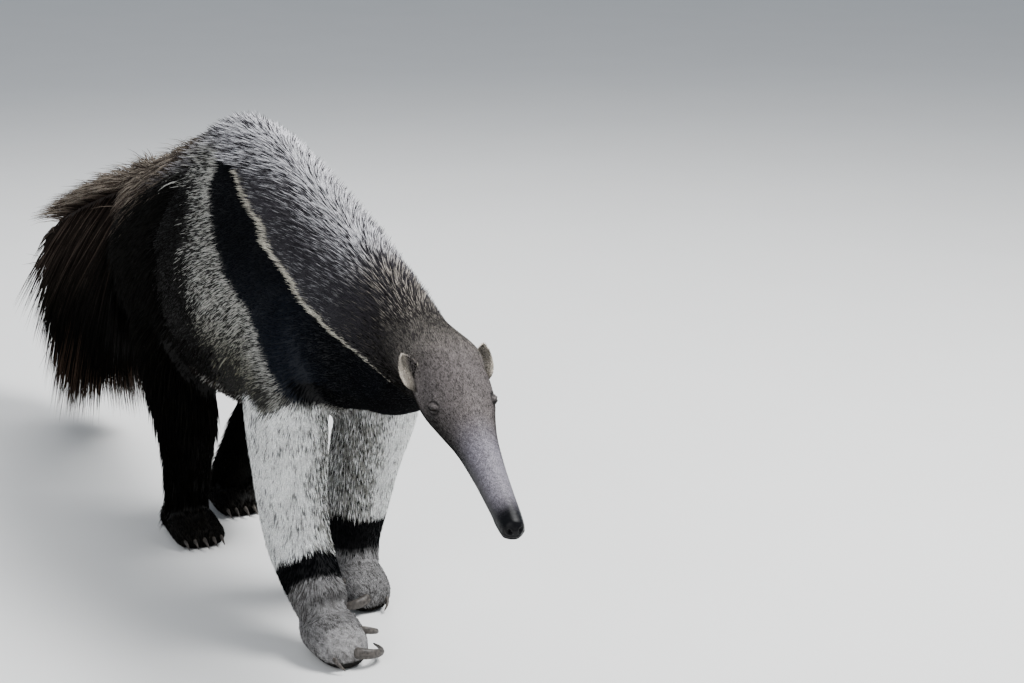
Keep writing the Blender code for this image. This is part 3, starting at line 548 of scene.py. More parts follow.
def shape_snout(points, normals):
    """Two nostrils with a low rim, and the mouth as a groove between two lips."""
    along, out, above = head_place(points)
    tip = along > 0.25
    for side in SIDES.values():
        a, o, b = along - NOSTRIL_PLACE[0], out - side * (NOSTRIL_PLACE[1] + 0.0006), above - NOSTRIL_PLACE[2]
        pit = bell(a / 0.0042, (o - side * b * 0.5) / 0.0019, b / 0.003)
        rim = bell((np.sqrt((a / 1.3) ** 2 + o ** 2 + b ** 2) - 0.0044) / 0.0012)
        points = points - normals * (np.where(tip, pit * 0.0042 - rim * 0.0005, 0))[:, None]
    under = above + MOUTH_DROP
    reach = smooth(0.255, 0.265, along)
    groove = bell(under / 0.0008) * 0.0014 * reach
    lips = (bell((under - 0.0024) / 0.0015) + bell((under + 0.0024) / 0.0015)) * 0.0008 * reach
    return points + normals * (np.where(tip, lips - groove, 0))[:, None]


def ear_axes(side):
    """Root and tip of an ear, and the ways up it, out of its hollow and across it."""
    root, tip = (head_point(along, side * (out + EAR_SHIFT[side]), above)
                 for along, out, above in (EAR_ROOT, EAR_TIP))
    tall = unit(tip - root)
    facing = AHEAD_OF_HEAD * 0.52 + LEFT_OF_HEAD * side * 0.21 + TOP_OF_HEAD * 0.83
    facing = unit(facing - tall * facing.dot(tall))
    wide = unit(LEFT_OF_HEAD * side - tall * (LEFT_OF_HEAD * side).dot(tall))
    return root, tip, tall, facing, unit(wide - facing * facing.dot(wide))


def ear_mesh(side):
    """A leaf-shaped cupped ear: the points and faces of its outer and inner shell, closed along the rim."""
    root, tip, tall, facing, wide = ear_axes(side)
    length = np.linalg.norm(tip - root) + EAR_SUNK
    columns, rows = 17, 21
    points, faces = [], []
    for layer in (0, 1):
        for r in range(rows):
            t = r / (rows - 1)
            half = EAR_HALF * math.sin(math.pi * (0.07 + 0.93 * t) ** 0.95) ** 0.62 + 0.0003
            deep = math.sin(math.pi * min(1, 0.25 + 0.75 * (1 - t) ** 0.8)) ** 0.5
            sunk = LEFT_OF_HEAD * side * (0.0055 * max(0, 1 - t / 0.28) ** 1.5)
            for c in range(columns):
                u = 2 * c / (columns - 1) - 1
                cup = 0.009 * (1 - abs(u) ** 1.8) * deep
                curl = 0.0016 * max(0, u) ** 3
                inside = EAR_THICK * layer * (1 - 0.6 * abs(u))
                place = root - tall * EAR_SUNK + tall * (length * t) + wide * (half * u - curl) - sunk
                points.append(place + facing * (0.0015 - cup + inside + 0.002 * t))
    count = columns * rows
    for i in range(count - columns):
        if (i + 1) % columns:
            corners = (i, i + 1, i + columns + 1, i + columns)
            faces += [corners, tuple(count + corners[k] for k in (0, 3, 2, 1))]
    rim = list(range(columns)) + [r * columns + columns - 1 for r in range(1, rows)]
    rim += [(rows - 1) * columns + c for c in range(columns - 2, -1, -1)]
    rim += [r * columns for r in range(rows - 2, 0, -1)]
    for i, j in zip(rim, rim[1:] + rim[:1]):
        faces.append((i, count + i, count + j, j))
    return np.array(points), faces


def speckled(dark, pale, share, chance):
    """Single tufts dark or pale, with the pale ones making up the given share."""
    return np.where((chance < share)[:, None], pale, dark)


def ear_colour(points, side, inside, dice):
    """Pale over the outer half with painted light along the rim, dark in the hollow towards the head: dark
    hair there, deepened by painted shade.
    """
    root, tip, tall, facing, wide = ear_axes(side)
    across = (points - root) @ wide / EAR_HALF
    high = (points - root) @ tall / np.linalg.norm(tip - root)
    chance = dice.random(len(points))
    rim = smooth(0.62, 0.86, np.abs(across)) + smooth(0.8, 0.95, high)
    pale = speckled(EAR_DULL, EAR_PALE, 0.7, chance)
    # Painted light along the rim
    pale = pale * (0.72 + EAR_RIM[side] * np.minimum(1, rim))[:, None]
    dark = speckled(DARK * 2.0, FACE * 1.6, 0.34, chance)
    # The hollow: dark hair, deepened by painted shade
    hollow = inside * smooth(EAR_HOLLOW[side], EAR_HOLLOW[side] - 0.5, across + 0.4 * (high - 0.55))
    hollow = hollow * smooth(0.99, 0.9, np.abs(across))
    return mixed(pale * smooth(-0.15, 0.25, high)[:, None], dark, hollow)


def grain(points, size, seed):
    """The same chance for all tufts of one small cell, so that the grizzle comes in fine clumps."""
    cell = np.floor(points / size + seed).astype(np.int64)
    return ((cell[:, 0] * 73856093) ^ (cell[:, 1] * 19349663) ^ (cell[:, 2] * 83492791)) % 9973 / 9973.0


def neck_colour(points, down, chance):
    """Dark on the side with fine pale hairs, silver along the top, finely speckled at the nape."""
    x = points[:, 0]
    reach = 0.082 - 0.03 * smooth(0.02, 0.2, x)
    silver = 1 - smooth(0.006, reach + 0.012 * rough(points, 25, 3.0), down)
    silver = np.maximum(silver, 0.85 * smooth(0.06, 0.015, np.abs(x + 0.01)) * smooth(0.1, 0.05, down))
    pale = mixed(SILVER, SILVER * 0.8, smooth(-0.02, 0.34, x))
    pale = mixed(pale, NAPE, smooth(0.37, 0.46, x))
    share = (0.17 + 0.43 * silver) * (1 - 0.5 * smooth(0.35, 0.45, x)) * (1 - 0.45 * smooth(-0.03, -0.14, x))
    neck = mixed(NECK, FACE * 0.3, smooth(0.42, 0.58, x)) * (1.0 + 0.3 * rough(points, 18, 1.0))[:, None]
    neck = neck * (1 - 0.45 * silver)[:, None]
    return speckled(neck, pale * (0.36 + 0.64 * silver[:, None]), share, chance), pale


def band_colour(x, z, rear, chance):
    """The grizzle behind the stripe: thinner and darker downwards and away from the stripe."""
    away, low = smooth(-0.012, -0.055, x - rear), smooth(0.46, 0.35, z)
    thick = 0.44 + 0.18 * smooth(-0.045, -0.005, x - rear)
    thick = thick * (1 - (0.35 + 0.45 * away) * smooth(0.44, 0.33, z))
    pale = GRIZZLE * (1 - (0.45 + 0.33 * away) * low)[:, None] * mixed(np.ones(3), OLIVE, low * away)
    return speckled(GRIZZLE * 0.05, pale, thick, chance)


def coat_colour(points, part, dice):
    """The colour of the coat at each root: broad markings, then the grizzle of single tufts."""
    x, y, z = points.T
    count = len(points)
    trunk, tail, head = is_part(part, "trunk"), is_part(part, "tail"), is_part(part, "head")
    foreleg, hind = is_part(part, "foreleg"), is_part(part, "hind_leg", "hind_foot")
    jitter = points + dice.normal(0, 0.0005, (count, 3))
    clumps = np.where(head, grain(jitter, 0.0022, 3.0), grain(jitter, 0.003, 5.0))
    clumps = np.where(foreleg, grain(jitter * LEG_STREAKS, 0.003, 7.0), clumps)
    chance = np.where(dice.random(count) < 0.55, clumps, dice.random(count))
    shade = dice.uniform(0.75, 1.25, count)[:, None]
    wander = rough(points, 70) * 0.004 + dice.normal(0, 0.0018, count)
    down = looked_up(TRUNK, x) - z + wander
    colour, pale = neck_colour(points, down, chance)
    # Behind the stripe a grizzled band, then the dark hindquarters, brown along the rump
    rear, front = looked_up(STRIPE_REAR, z) + wander, looked_up(STRIPE_FRONT, z) + wander
    behind = (x < rear) * smooth(0.665, 0.635, z)
    colour = mixed(colour, band_colour(x, z, rear, chance), behind * (trunk | foreleg))
    dark = speckled(DARK, DARK * 2.2, 0.25, chance)
    brown = speckled(BROWN * 0.45, mixed(BROWN * 2.2, pale, smooth(-0.42, -0.1, x) * 0.65), 0.44, chance)
    edge = smooth(0.05, -0.06, x - (looked_up(BAND_REAR, z) + wander * 3))
    edge = np.where(down < 0.09, edge * smooth(-0.02, -0.26, x), edge)
    turned = (dice.random(count) < edge) * (trunk | hind | foreleg) * (z > 0.24)
    colour = mixed(colour, mixed(dark, brown, smooth(0.075, 0.028, down)), turned)
    # The black stripe, and the white line along its front edge
    black = (x > rear) & (x < front) & (down > 0.036) & (z < 0.64 + wander)
    sheen = 2.2 + 6.0 * smooth(0.56, 0.44, z) * smooth(0.42, 0.32, x)
    colour = painted(colour, black & (trunk | foreleg | head) & (z > 0.3), BLACK * shade * sheen[:, None])
    wide = np.where(z > 0.6, 0.0065, 0.008) * (1 - 0.45 * smooth(0.4, 0.56, x))
    line = (np.abs(x - front - 0.004) < wide) & (z < 0.636) & (z > 0.425)
    line &= chance < 1.0 - 0.5 * smooth(0.44, 0.56, x)
    colour = painted(colour, line & (trunk | head), CREAM * shade)
    # Throat black underneath, the belly's edge a dark grizzle
    throat = (x > 0.33) & (z < 0.392 + wander * 2 + 0.06 * smooth(0.44, 0.6, x))
    colour = painted(colour, throat & trunk, BLACK * shade)
    belly = trunk & (z < 0.318 + wander) & (x < 0.2) & (x > -0.1)
    colour = painted(colour, belly, speckled(BROWN * 0.2, GRIZZLE * 0.35, 0.3, chance))
    for name, side in SIDES.items():
        colour = foreleg_colour(colour, points, part, chance, wander, name, side)
    colour = painted(colour, hind & (z < 0.36), dark)
    colour = painted(colour, is_part(part, "hind_foot"), speckled(DARK, DARK * 8.0, 0.25, chance))
    # Tail: brown along the top, near black below
    on_top = speckled(BROWN * 0.5, BROWN * 2.0, 0.35, chance)
    colour = painted(colour, tail, mixed(on_top, DARK, smooth(0.02, 0.11, looked_up(TAIL, x) - z)))
    return np.clip(face_colour(colour, points, head, black, chance), 0.001, 1.0)


def foreleg_colour(colour, points, part, chance, wander, name, side):
    """White with dark streaks, darker behind where its hair is dark and on the inner side with painted shade,
    with a black wrist and a grizzled fist.
    """
    x, y, z = points.T
    mine = (np.sign(y) == side) & is_part(part, "foreleg", "forefoot")
    white = speckled(WHITE, WHITE * 0.14, 0.17 + 0.09 * rough(points, 30, 5.0), chance)
    middle = looked_up(FORELEG_PATHS[name], z, 2, 0)
    back = smooth(-0.03, -0.056, x - middle) * smooth(0.37, 0.3, z)
    # The inner side darker: painted shade
    inner_shade = smooth(0.01, -0.032, side * y - 0.072) * 0.84
    # One dark grizzle for the dark hair behind and for the painted shade inside
    dark_hair_and_shade = speckled(DARK * 3, GRIZZLE * 0.6, 0.45, chance)
    leg = painted(white, np.roll(chance, 1) < np.maximum(back, inner_shade) * 0.85, dark_hair_and_shade)
    colour = painted(colour, mine & (z < 0.345 + wander * 3 + 0.02 * rough(points, 20)), leg)
    if side < 0:
        reach = (x - 0.302) * 0.62 - (z - 0.103) * 0.78 + wander
        wrist, fist = (reach > -0.019) & (reach < 0.021), reach >= 0.021
    else:
        wrist, fist = (z + wander < 0.139) & (z + wander > 0.081), z + wander <= 0.081
    hand = speckled(HAND_PALE, HAND_DARK, 0.36 + 0.3 * smooth(0.03, 0.01, z), chance)
    hand = painted(hand, z < 0.013, DARK * 2)
    return painted(painted(colour, mine & fist, hand), mine & wrist, BLACK)


def lid_shade(points):
    """Painted light and shade round the eyes: a soft darkening round the eye, painted light on the upper lid,
    painted shade in the crease above it and in the slit.
    """
    shade = np.ones(len(points))
    for side in SIDES.values():
        outward, along, across = eye_axes(side)
        off = points - eye_at(side)
        a, c = off @ along / 1.12, off @ across / 1.12
        soft = bell(a / 0.0135, (c + 0.003) / 0.0115) * 0.58
        lid = bell((c - 0.0036 + 24 * a * a) / 0.0014) * (1 - smooth(0.005, 0.01, np.abs(a)))
        crease = bell((c - 0.0062 + 26 * a * a) / 0.0009) * (1 - smooth(0.008, 0.0115, np.abs(a)))
        slit = bell((c + 0.0012) / 0.0023) * (1 - smooth(0.007, 0.01, np.abs(a)))
        change = (1 - soft) * (1 + 0.45 * lid) * (1 - 0.65 * crease) * (1 - 0.92 * slit)
        shade = np.where(np.linalg.norm(off, axis=1) < EYE_REACH, shade * change, shade)
    return shade


def face_colour(colour, points, head, black, chance):
    """Grey-brown with a fine speckle, near black on the cheeks and under the snout, black at its very end."""
    along, out, above = head_place(points)
    high = above / looked_up(HEAD, along, 0, 2)
    pale = mixed(FACE * 1.3, NAPE * 0.75, smooth(0.04, -0.06, along))
    face = speckled(FACE * 0.36, pale, 0.55 - 0.1 * smooth(0.02, -0.06, along), chance)
    face = face * (1 - 0.52 * smooth(0.0, -0.08, along))[:, None]
    # The snout is tinted bluish and lightened towards its top: a painted sheen
    snout = speckled(FACE * 0.6, FACE * 1.15, 0.5, chance) * SNOUT_SHEEN
    snout = snout * (1 + 0.55 * smooth(0.2, 0.9, high))[:, None]
    face = mixed(face, snout, smooth(0.1, 0.17, along))
    behind = smooth(0.7, -0.1, high) * smooth(0.03, 0.085, along) * 0.85
    cheek = np.maximum(smooth(0.1, -0.45, high), behind)
    face = mixed(face, speckled(DARK, DARK * 4.0, 0.3, chance), cheek)
    face = face * lid_shade(points)[:, None]
    reach = smooth(-0.19, 0.01, along + 0.012 * rough(points, 60)) * (points[:, 0] > 0.4)
    colour = painted(colour, ~black & (np.roll(chance, 3) < reach), face)
    nose = smooth(0.232, 0.28, along + 0.5 * np.maximum(0, 0.006 - above) + 0.003 * rough(points, 140))
    return mixed(colour, NOSE, head * nose)


def coat_lie(points, normals, part):
    """Which way the coat runs along the surface at each root."""
    x, y, z = points.T
    lie = np.tile(np.array([-1.0, 0.0, -0.15]), (len(points), 1))
    ahead = smooth(0.1, 0.42, x)
    lie[:, 2] += 0.3 * ahead - (0.75 - 0.4 * ahead) * (1 - np.abs(normals[:, 2]))
    low = smooth(0.4, 0.3, z) * is_part(part, "foreleg", "hind_leg")
    lie = mixed(lie, np.array([-0.12, 0.0, -1.0]), low)
    lie[is_part(part, "forefoot", "hind_foot")] = (0.9, 0, -0.45)
    along = head_place(points)[0]
    lie = mixed(unit(lie), -AHEAD_OF_HEAD, smooth(-0.2, 0.0, along) * (x > 0.4))
    lie += 0.16 * np.stack([rough(points, 45, seed) for seed in (2.0, 7.0, 9.0)], 1)
    lie -= normals * (lie * normals).sum(1)[:, None]
    return unit(lie)


def add_tint(mesh, colours):
    """The coat's colour at each point, for the materials."""
    tint = mesh.attributes.new("coat", "FLOAT_COLOR", "POINT")
    tint.data.foreach_set("color", np.insert(colours, 3, 1.0, axis=1).astype(np.float32).ravel())


def add_shares(mesh, name, shares):
    layer = mesh.attributes.new(name, "FLOAT", "POINT")
    layer.data.foreach_set("value", shares.astype(np.float32))


def strand_mesh(name, taper, material, roots, normals, lies, length, width, lift, sag, colours, tips, marks):
    """One mesh of many closed, tapered tufts; every tuft bends from its root along the lie and sags."""
    count, rows = len(roots), len(taper)
    buried = np.minimum(0.0016, length * 0.09)
    lies = unit(lies - normals * np.minimum(0, (lies * normals).sum(1))[:, None])
    way = unit(lies + normals * lift[:, None])
    spot = roots - normals * buried[:, None]
    step = ((length + buried) / rows)[:, None]
    rings, shares = [], []
    for r in range(rows):
        side = unit(np.cross(way, normals))
        half = (width * taper[r])[:, None]
        rings += [spot + side * half, spot - side * half, spot + np.cross(side, way) * half * TUFT_DEPTH]
        shares += [r / rows] * 3
        spot = spot + way * step
        way = unit(way + lies * 0.1 - UP * sag[:, None] / rows)
    rings.append(spot)
    shares.append(1.0)
    points = np.stack(rings, 1)
    points[:, :, 1] = np.clip(points[:, :, 1], -WIDEST, WIDEST)
    points[:, :, 2] = np.maximum(points[:, :, 2], 0.0012)
    per = rows * 3 + 1
    faces = [(0, 2, 1)]
    for r in range(rows - 1):
        a, b = r * 3, r * 3 + 3
        for i in range(3):
            j = (i + 1) % 3
            faces += [(a + i, a + j, b + j), (a + i, b + j, b + i)]
    last = (rows - 1) * 3
    faces += [(last + i, last + (i + 1) % 3, per - 1) for i in range(3)]
    corners = (np.array(faces)[None] + (np.arange(count) * per)[:, None, None]).astype(np.int32).ravel()
    total = len(corners) // 3
    mesh = bpy.data.meshes.new(name)
    mesh.vertices.add(count * per)
    mesh.vertices.foreach_set("co", (points + SHIFT).astype(np.float32).ravel())
    mesh.loops.add(len(corners))
    mesh.loops.foreach_set("vertex_index", corners)
    mesh.polygons.add(total)
    mesh.polygons.foreach_set("loop_start", np.arange(0, total * 3, 3, dtype=np.int32))
    mesh.polygons.foreach_set("loop_total", np.full(total, 3, np.int32))
    mesh.update(calc_edges=True)
    mesh.polygons.foreach_set("use_smooth", np.ones(total, bool))
    reach = np.array(shares)[None, :, None]
    tints = colours[:, None, :] * (1 - reach) + tips[:, None, :] * reach
    add_tint(mesh, tints.reshape(-1, 3))
    add_shares(mesh, "along", np.tile(np.array(shares), count))
    across = (PATCH_HALF, -PATCH_HALF, 0.0)
    patch = [(across[i % 3], 2 * PATCH_HALF * shares[i] - PATCH_HALF) for i in range(per - 1)]
    patch.append((0.0, PATCH_HALF))
    spread = (marks[:, None, :] + np.array(patch)[None]).reshape(-1, 2)
    uv = mesh.uv_layers.new(name="OFBake")
    uv.data.foreach_set("uv", spread[corners].astype(np.float32).ravel())
    mesh.materials.append(material)
    made = linked_object(name, mesh)
    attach(made, "root")


def scattered(mesh, per_area):
    """Even random places on a mesh, with their normals; per_area gives the places per square metre."""
    mesh.calc_loop_triangles()
    tris = np.empty(len(mesh.loop_triangles) * 3, np.int32)
    mesh.loop_triangles.foreach_get("vertices", tris)
    tris = tris.reshape(-1, 3)
    points, normals = mesh_points(mesh), mesh_normals(mesh)
    corners = points[tris]
    areas = np.linalg.norm(np.cross(corners[:, 1] - corners[:, 0], corners[:, 2] - corners[:, 0]), axis=1) / 2
    want = areas * per_area(corners.mean(1), unit(normals[tris].mean(1)))
    total = np.cumsum(want)
    picks = np.arange(0.5, total[-1], 1.0)
    index = np.clip(np.searchsorted(total, picks), 0, len(tris) - 1)
    a, b = DICE.random(len(index)), DICE.random(len(index))
    flip = a + b > 1
    a[flip], b[flip] = 1 - a[flip], 1 - b[flip]
    weights = np.stack([1 - a - b, a, b], 1)[:, :, None]
    return (corners[index] * weights).sum(1), unit((normals[tris[index]] * weights).sum(1))


def chosen(tufts, rows):
    return {name: values[rows] for name, values in tufts.items()}


def grow(name, material, taper, tufts):
    """Tufts in pieces small enough to hand on, each with its colours and bake patches."""
    part, share, angle = locate(tufts["roots"])
    if "lies" not in tufts:
        tufts["lies"] = coat_lie(tufts["roots"], tufts["normals"], part)
    if "colours" not in tufts:
        tufts["colours"] = coat_colour(tufts["roots"], part, DICE)
    tufts.setdefault("tips", tufts["colours"])
    tufts["marks"] = unwrapped(part, share, angle)
    most = PIECE_TRIANGLES // (6 * len(taper) - 2)
    order = np.argsort(tufts["roots"][:, 0])
    chunks = math.ceil(len(order) / most)
    for i, rows in enumerate(np.array_split(order, chunks)):
        strand_mesh(name if chunks == 1 else f"{name}_{i + 1}", taper, material, **chosen(tufts, rows))


def fine_density(points, normals):
    """The short coat's tufts per square metre; close stands for the tiny hair from the nape to the snout."""
    part = locate(points)[0]
    x, y, z = points.T
    along = head_place(points)[0]
    trunk = is_part(part, "trunk")
    per = np.where(trunk & (x > -0.02), 165000.0, 135000.0)
    per = np.where(trunk & (x < -0.14) & (z < 0.58), 75000.0, per)
    for start, (dense, length, width) in SHORT_HAIR.items():
        per = np.where(is_part(part, start), dense, per)
    close = smooth(-0.2, 0.03, along) * (x > 0.4)
    per = np.where(x > 0.4, 165000.0 + 700000.0 * close, per)
    per = per * (1 - smooth(0.11, 0.2, along) * is_part(part, "head"))
    buried = is_part(part, "foreleg", "hind_leg") & (z > 0.44) & (np.abs(y) < 0.04)
    return np.where(buried, 0.0, per)


def fine_fur(skin, material):
    """The short coat everywhere but the tail: how long and raised it is changes over the body."""
    roots, normals = scattered(skin.data, fine_density)
    part = locate(roots)[0]
    x, y, z = roots.T
    along = head_place(roots)[0]
    count = len(roots)
    trunk, feet = is_part(part, "trunk"), is_part(part, "forefoot", "hind_foot")
    down = looked_up(TRUNK, x) - z
    crest = smooth(0.08, 0.015, down) * trunk * smooth(-0.3, -0.1, x) * smooth(-0.07, -0.2, along)
    rear = trunk & (x < -0.14) & (down > 0.05)
    length, width = np.where(rear, 0.024, 0.012 + crest * 0.004), np.where(rear, 0.0015, 0.00105)
    for start, (dense, long, wide) in SHORT_HAIR.items():
        here = is_part(part, start)
        length, width = np.where(here, long, length), np.where(here, wide, width)
    close = smooth(-0.2, 0.05, along) * (x > 0.4)
    length = length * (1 - 0.72 * close) * (1 - 0.35 * smooth(0.08, 0.2, along) * (x > 0.48))
    length = length * DICE.uniform(0.7, 1.3, count)
    width = width * (1 - 0.58 * close) * DICE.uniform(0.8, 1.2, count)
    lift = (0.2 + crest * 0.65) * (1 - 0.3 * close) * DICE.uniform(0.4, 1.6, count)
    clear = ~(feet & (z < 0.004)) & ~((x > 0.48) & (along > 0.262))
    for side in SIDES.values():
        outward, slit, across = eye_axes(side)
        off = roots - eye_at(side)
        apart = np.linalg.norm(off, axis=1)
        clear &= (apart > 0.014) | (np.hypot(off @ slit * 0.68, off @ across + 0.0012) > 0.0052)
        length = length * (1 - 0.68 * smooth(0.02, 0.009, apart))
        width = width * (1 - 0.35 * smooth(0.02, 0.009, apart))
        root, tip, tall, facing, wide = ear_axes(side)
        up = np.clip((roots - root) @ tall, 0, 0.04)[:, None]
        beside = np.linalg.norm(roots - root - tall * up, axis=1)
        length = length * (1 - 0.65 * smooth(0.026, 0.014, beside))
        clear &= beside > 0.008
    tufts = {"roots": roots, "normals": normals, "length": length, "width": width, "lift": lift,
             "sag": np.zeros(count)}
    neck = trunk & (x > 0.0)
    groups = {"fur_head": is_part(part, "head"), "fur_neck": neck & (x > 0.2),
              "fur_shoulders": neck & (x <= 0.2), "fur_back": trunk & (x <= 0.0),
              "fur_forelegs": is_part(part, "foreleg", "forefoot"),
              "fur_hind_legs": is_part(part, "hind_leg", "hind_foot")}
    for name, wanted in groups.items():
        grow(name, material, FINE, chosen(tufts, wanted & clear))


def tail_density(points, normals):
    part = locate(points)[0]
    per = np.where(is_part(part, "tail"), 38000.0 + 90000.0 * (normals[:, 2] > 0.45), 0.0)
    return np.where(is_part(part, "trunk") & (points[:, 0] < -0.43) & (points[:, 2] < 0.5), 24000.0, per)


def tail_fur(skin, material):
    """Long hair hanging in a curtain from the tail, a fan off its end, and a wispy ridge along its top."""
    roots, normals = scattered(skin.data, tail_density)
    x, y, z = roots.T
    count = len(roots)
    down = looked_up(TAIL, x) - z
    ridge = normals[:, 2] > 0.45
    end = np.clip((-0.98 - x) / 0.09, 0, 1)
    ones = np.ones(count)
    hanging = np.stack([DICE.uniform(-0.17, 0.0, count), 0.05 * normals[:, 1], -ones], 1)
    lies = mixed(hanging, np.stack([-ones, DICE.uniform(-0.2, 0.2, count), (z - 0.36) * 6], 1), end)
    back = np.stack([-ones, 1.1 * normals[:, 1] + DICE.uniform(-0.35, 0.35, count), -0.12 * ones], 1)
    lies = unit(mixed(lies, back, ridge * 1.0))
    hem = looked_up(HEM, x - 0.03)
    reach = DICE.uniform(0.5, 1.0, count) ** 0.7
    length = np.maximum(0.05, (z - hem) * reach * 1.02)
    length = np.where(down < 0.12, np.minimum(length, DICE.uniform(0.12, 0.24, count)), length)
    length = np.where(end > 0.3, DICE.uniform(0.08, 0.13, count), length)
    length = np.where(ridge, DICE.uniform(0.045, 0.08, count), length)
    width = np.where(ridge, 0.0009, 0.0017) * DICE.uniform(0.8, 1.2, count)
    lift = np.where(ridge, DICE.uniform(0.25, 0.95, count), DICE.uniform(0.04, 0.22, count))
    sag = np.where(ridge, 0.65, 0.9 * end + 0.25)
    colours = coat_colour(roots, np.full(count, PARTS.index("tail")), DICE)
    chance = DICE.random(count)
    low = smooth(0.2, 0.05, z - length) * smooth(0.1, 0.03, z - length - hem)
    wisp = mixed(BROWN * 0.9, BEIGE, (chance - 0.3) * 1.5)
    tips = painted(DARK * 1.2, ridge, np.maximum(wisp, BROWN * 0.4))
    rusty = (low * (0.25 + chance) > 0.6) & ~ridge
    tips = painted(tips, rusty, RUST * (0.4 + chance)[:, None])
    dark = painted(DARK * (0.8 + 0.8 * chance)[:, None], np.roll(chance, 5) < 0.12, BROWN * 0.35)
    hung = mixed(dark, colours, smooth(0.1, 0.02, down))
    tufts = {"roots": roots, "normals": normals, "length": length, "width": width, "lift": lift, "sag": sag,
             "lies": lies, "tips": tips, "colours": painted(hung, ridge, colours)}
    grow("fur_tail_top", material, LONG, chosen(tufts, ridge))
    grow("fur_tail", material, LONG, chosen(tufts, ~ridge))


def long_density(points, normals):
    """The crest's, rump's, thighs' and belly's long tufts per square metre."""
    part = locate(points)[0]
    x, y, z = points.T
    down = looked_up(TRUNK, x) - z
    trunk = is_part(part, "trunk")
    per = np.where(trunk & (down < 0.06), 84000.0 * smooth(0.06, 0.01, down) * smooth(0.49, 0.34, x), 0.0)
    on_rump = np.where(normals[:, 2] > 0.25, 60000.0, np.where(x < -0.3, 13000.0, 0.0))
    rump = (trunk | is_part(part, "tail")) & (x < -0.15) & (x > -0.56)
    thigh = is_part(part, "hind_leg", "trunk") & (x < -0.1) & (z < 0.5) & (z > 0.2)
    belly = trunk & (normals[:, 2] < -0.35) & (x < 0.2)
    for where, dense in ((rump, on_rump), (thigh, 17000.0), (belly, 16000.0)):
        per = np.where(where, np.maximum(per, dense), per)
    return per


def long_fur(skin, material):
    """The crest from the nape along the back, and the longer hair of rump, thighs and belly."""
    roots, normals = scattered(skin.data, long_density)
    part = locate(roots)[0]
    x, y, z = roots.T
    count = len(roots)
    down = looked_up(TRUNK, x) - z
    rump = (x < -0.15 - 0.1 * DICE.random(count)) & (down < 0.015 + 0.095 * DICE.random(count))
    crest = (down < 0.06) & (x > -0.33) & ~rump
    mane = smooth(0.1, 0.2, x)
    lies = coat_lie(roots, normals, part)
    length = np.where(crest, 0.029 - 0.006 * mane - 0.015 * smooth(0.3, 0.48, x), 0.06)
    length = np.where(rump, 0.04 + 0.024 * smooth(-0.18, -0.34, x), length)
    length = np.where((z < 0.36) & ~crest, 0.052, length)
    length = np.where(is_part(part, "trunk") & (normals[:, 2] < -0.35), 0.024, length)
    length = length * DICE.uniform(0.7, 1.15, count)
    width = np.where(crest, 0.00062, np.where(rump, 0.001, 0.0015)) * DICE.uniform(0.8, 1.2, count)
    lift = np.where(crest, 0.6 + 0.65 * mane, 0.2) * DICE.uniform(0.5, 1.5, count)
    lift = np.where(rump, DICE.uniform(0.2, 0.95, count) * (1 - 0.85 * np.abs(normals[:, 1])), lift)
    stray = DICE.normal(0, 0.36, (count, 3)) * (rump * smooth(-0.16, -0.34, x))[:, None]
    lies = unit(lies + stray - normals * (stray * normals).sum(1)[:, None])
    colours = coat_colour(roots, part, DICE)
    chance = DICE.random(count)
    beige = np.clip((chance - 0.3) * 1.5, 0, 1) * smooth(0.25, 0.85, normals[:, 2]) * smooth(-0.12, -0.3, x)
    tips = painted(colours, rump, mixed(BROWN * 0.7, BEIGE, beige))
    colours = painted(colours, rump, BROWN * 0.45)
    tips = painted(tips, crest, colours * 1.25 + 0.01)
    colours = painted(colours, crest, mixed(colours, NECK * 0.6, 0.75))
    tufts = {"roots": roots, "normals": normals, "length": length, "width": width, "lift": lift,
             "sag": np.where(crest, 0.05, 0.55), "lies": lies, "tips": tips, "colours": colours}
    grow("fur_crest", material, LONG, chosen(tufts, crest))
    grow("fur_rump", material, LONG, chosen(tufts, ~crest))


def ear_fur(points, faces, name, side, material):
    """Short hair over an ear: pale outside with painted light at the rim, dark in the hollow, its dark hair
    deepened by painted shade.
    """
    mesh = bpy.data.meshes.new("ear_base")
    mesh.from_pydata([tuple(p) for p in points], [], faces)
    mesh.update()
    roots, normals = scattered(mesh, lambda middles, facings: np.full(len(middles), EAR_DENSITY))
    bpy.data.meshes.remove(mesh)
    count = len(roots)
    root, tip, tall, facing, wide = ear_axes(side)
    lies = unit(tall[None] * 0.9 + DICE.normal(0, 0.2, (count, 3)))
    colours = ear_colour(roots, side, (normals @ facing) > 0.15, DICE)
    tufts = {"roots": roots, "normals": normals, "length": DICE.uniform(0.0022, 0.0048, count),
             "width": np.full(count, 0.00036), "lift": DICE.uniform(0.05, 0.45, count),
             "sag": np.zeros(count), "lies": lies, "tips": colours * 1.1, "colours": colours}
    grow("fur_ear_" + name, material, FINE, tufts)


def linked(tree, kind, settings=(), links=()):
    node = tree.nodes.new(kind)
    for key, value in settings:
        if hasattr(node, key):
            setattr(node, key, value)
        else:
            node.inputs[key].default_value = value
    for key, socket in links:
        tree.links.new(socket, node.inputs[key])
    return node


def nodes_of(name, roughness, specular):
    """A new material with its node tree, its shader and the place on the object."""
    material = bpy.data.materials.new(name)
    material.use_nodes = True
    tree = material.node_tree
    shader = tree.nodes["Principled BSDF"]
    shader.inputs["Roughness"].default_value = roughness
    shader.inputs["Specular IOR Level"].default_value = specular
    return material, tree, shader, linked(tree, "ShaderNodeTexCoord").outputs["Object"]


def point_value(tree, name, output):
    return linked(tree, "ShaderNodeAttribute", [("attribute_name", name)]).outputs[output]


def noise_at(tree, place, scale, detail, **more):
    settings = [("Scale", scale), ("Detail", detail), *more.items()]
    return linked(tree, "ShaderNodeTexNoise", settings, [("Vector", place)]).outputs["Fac"]


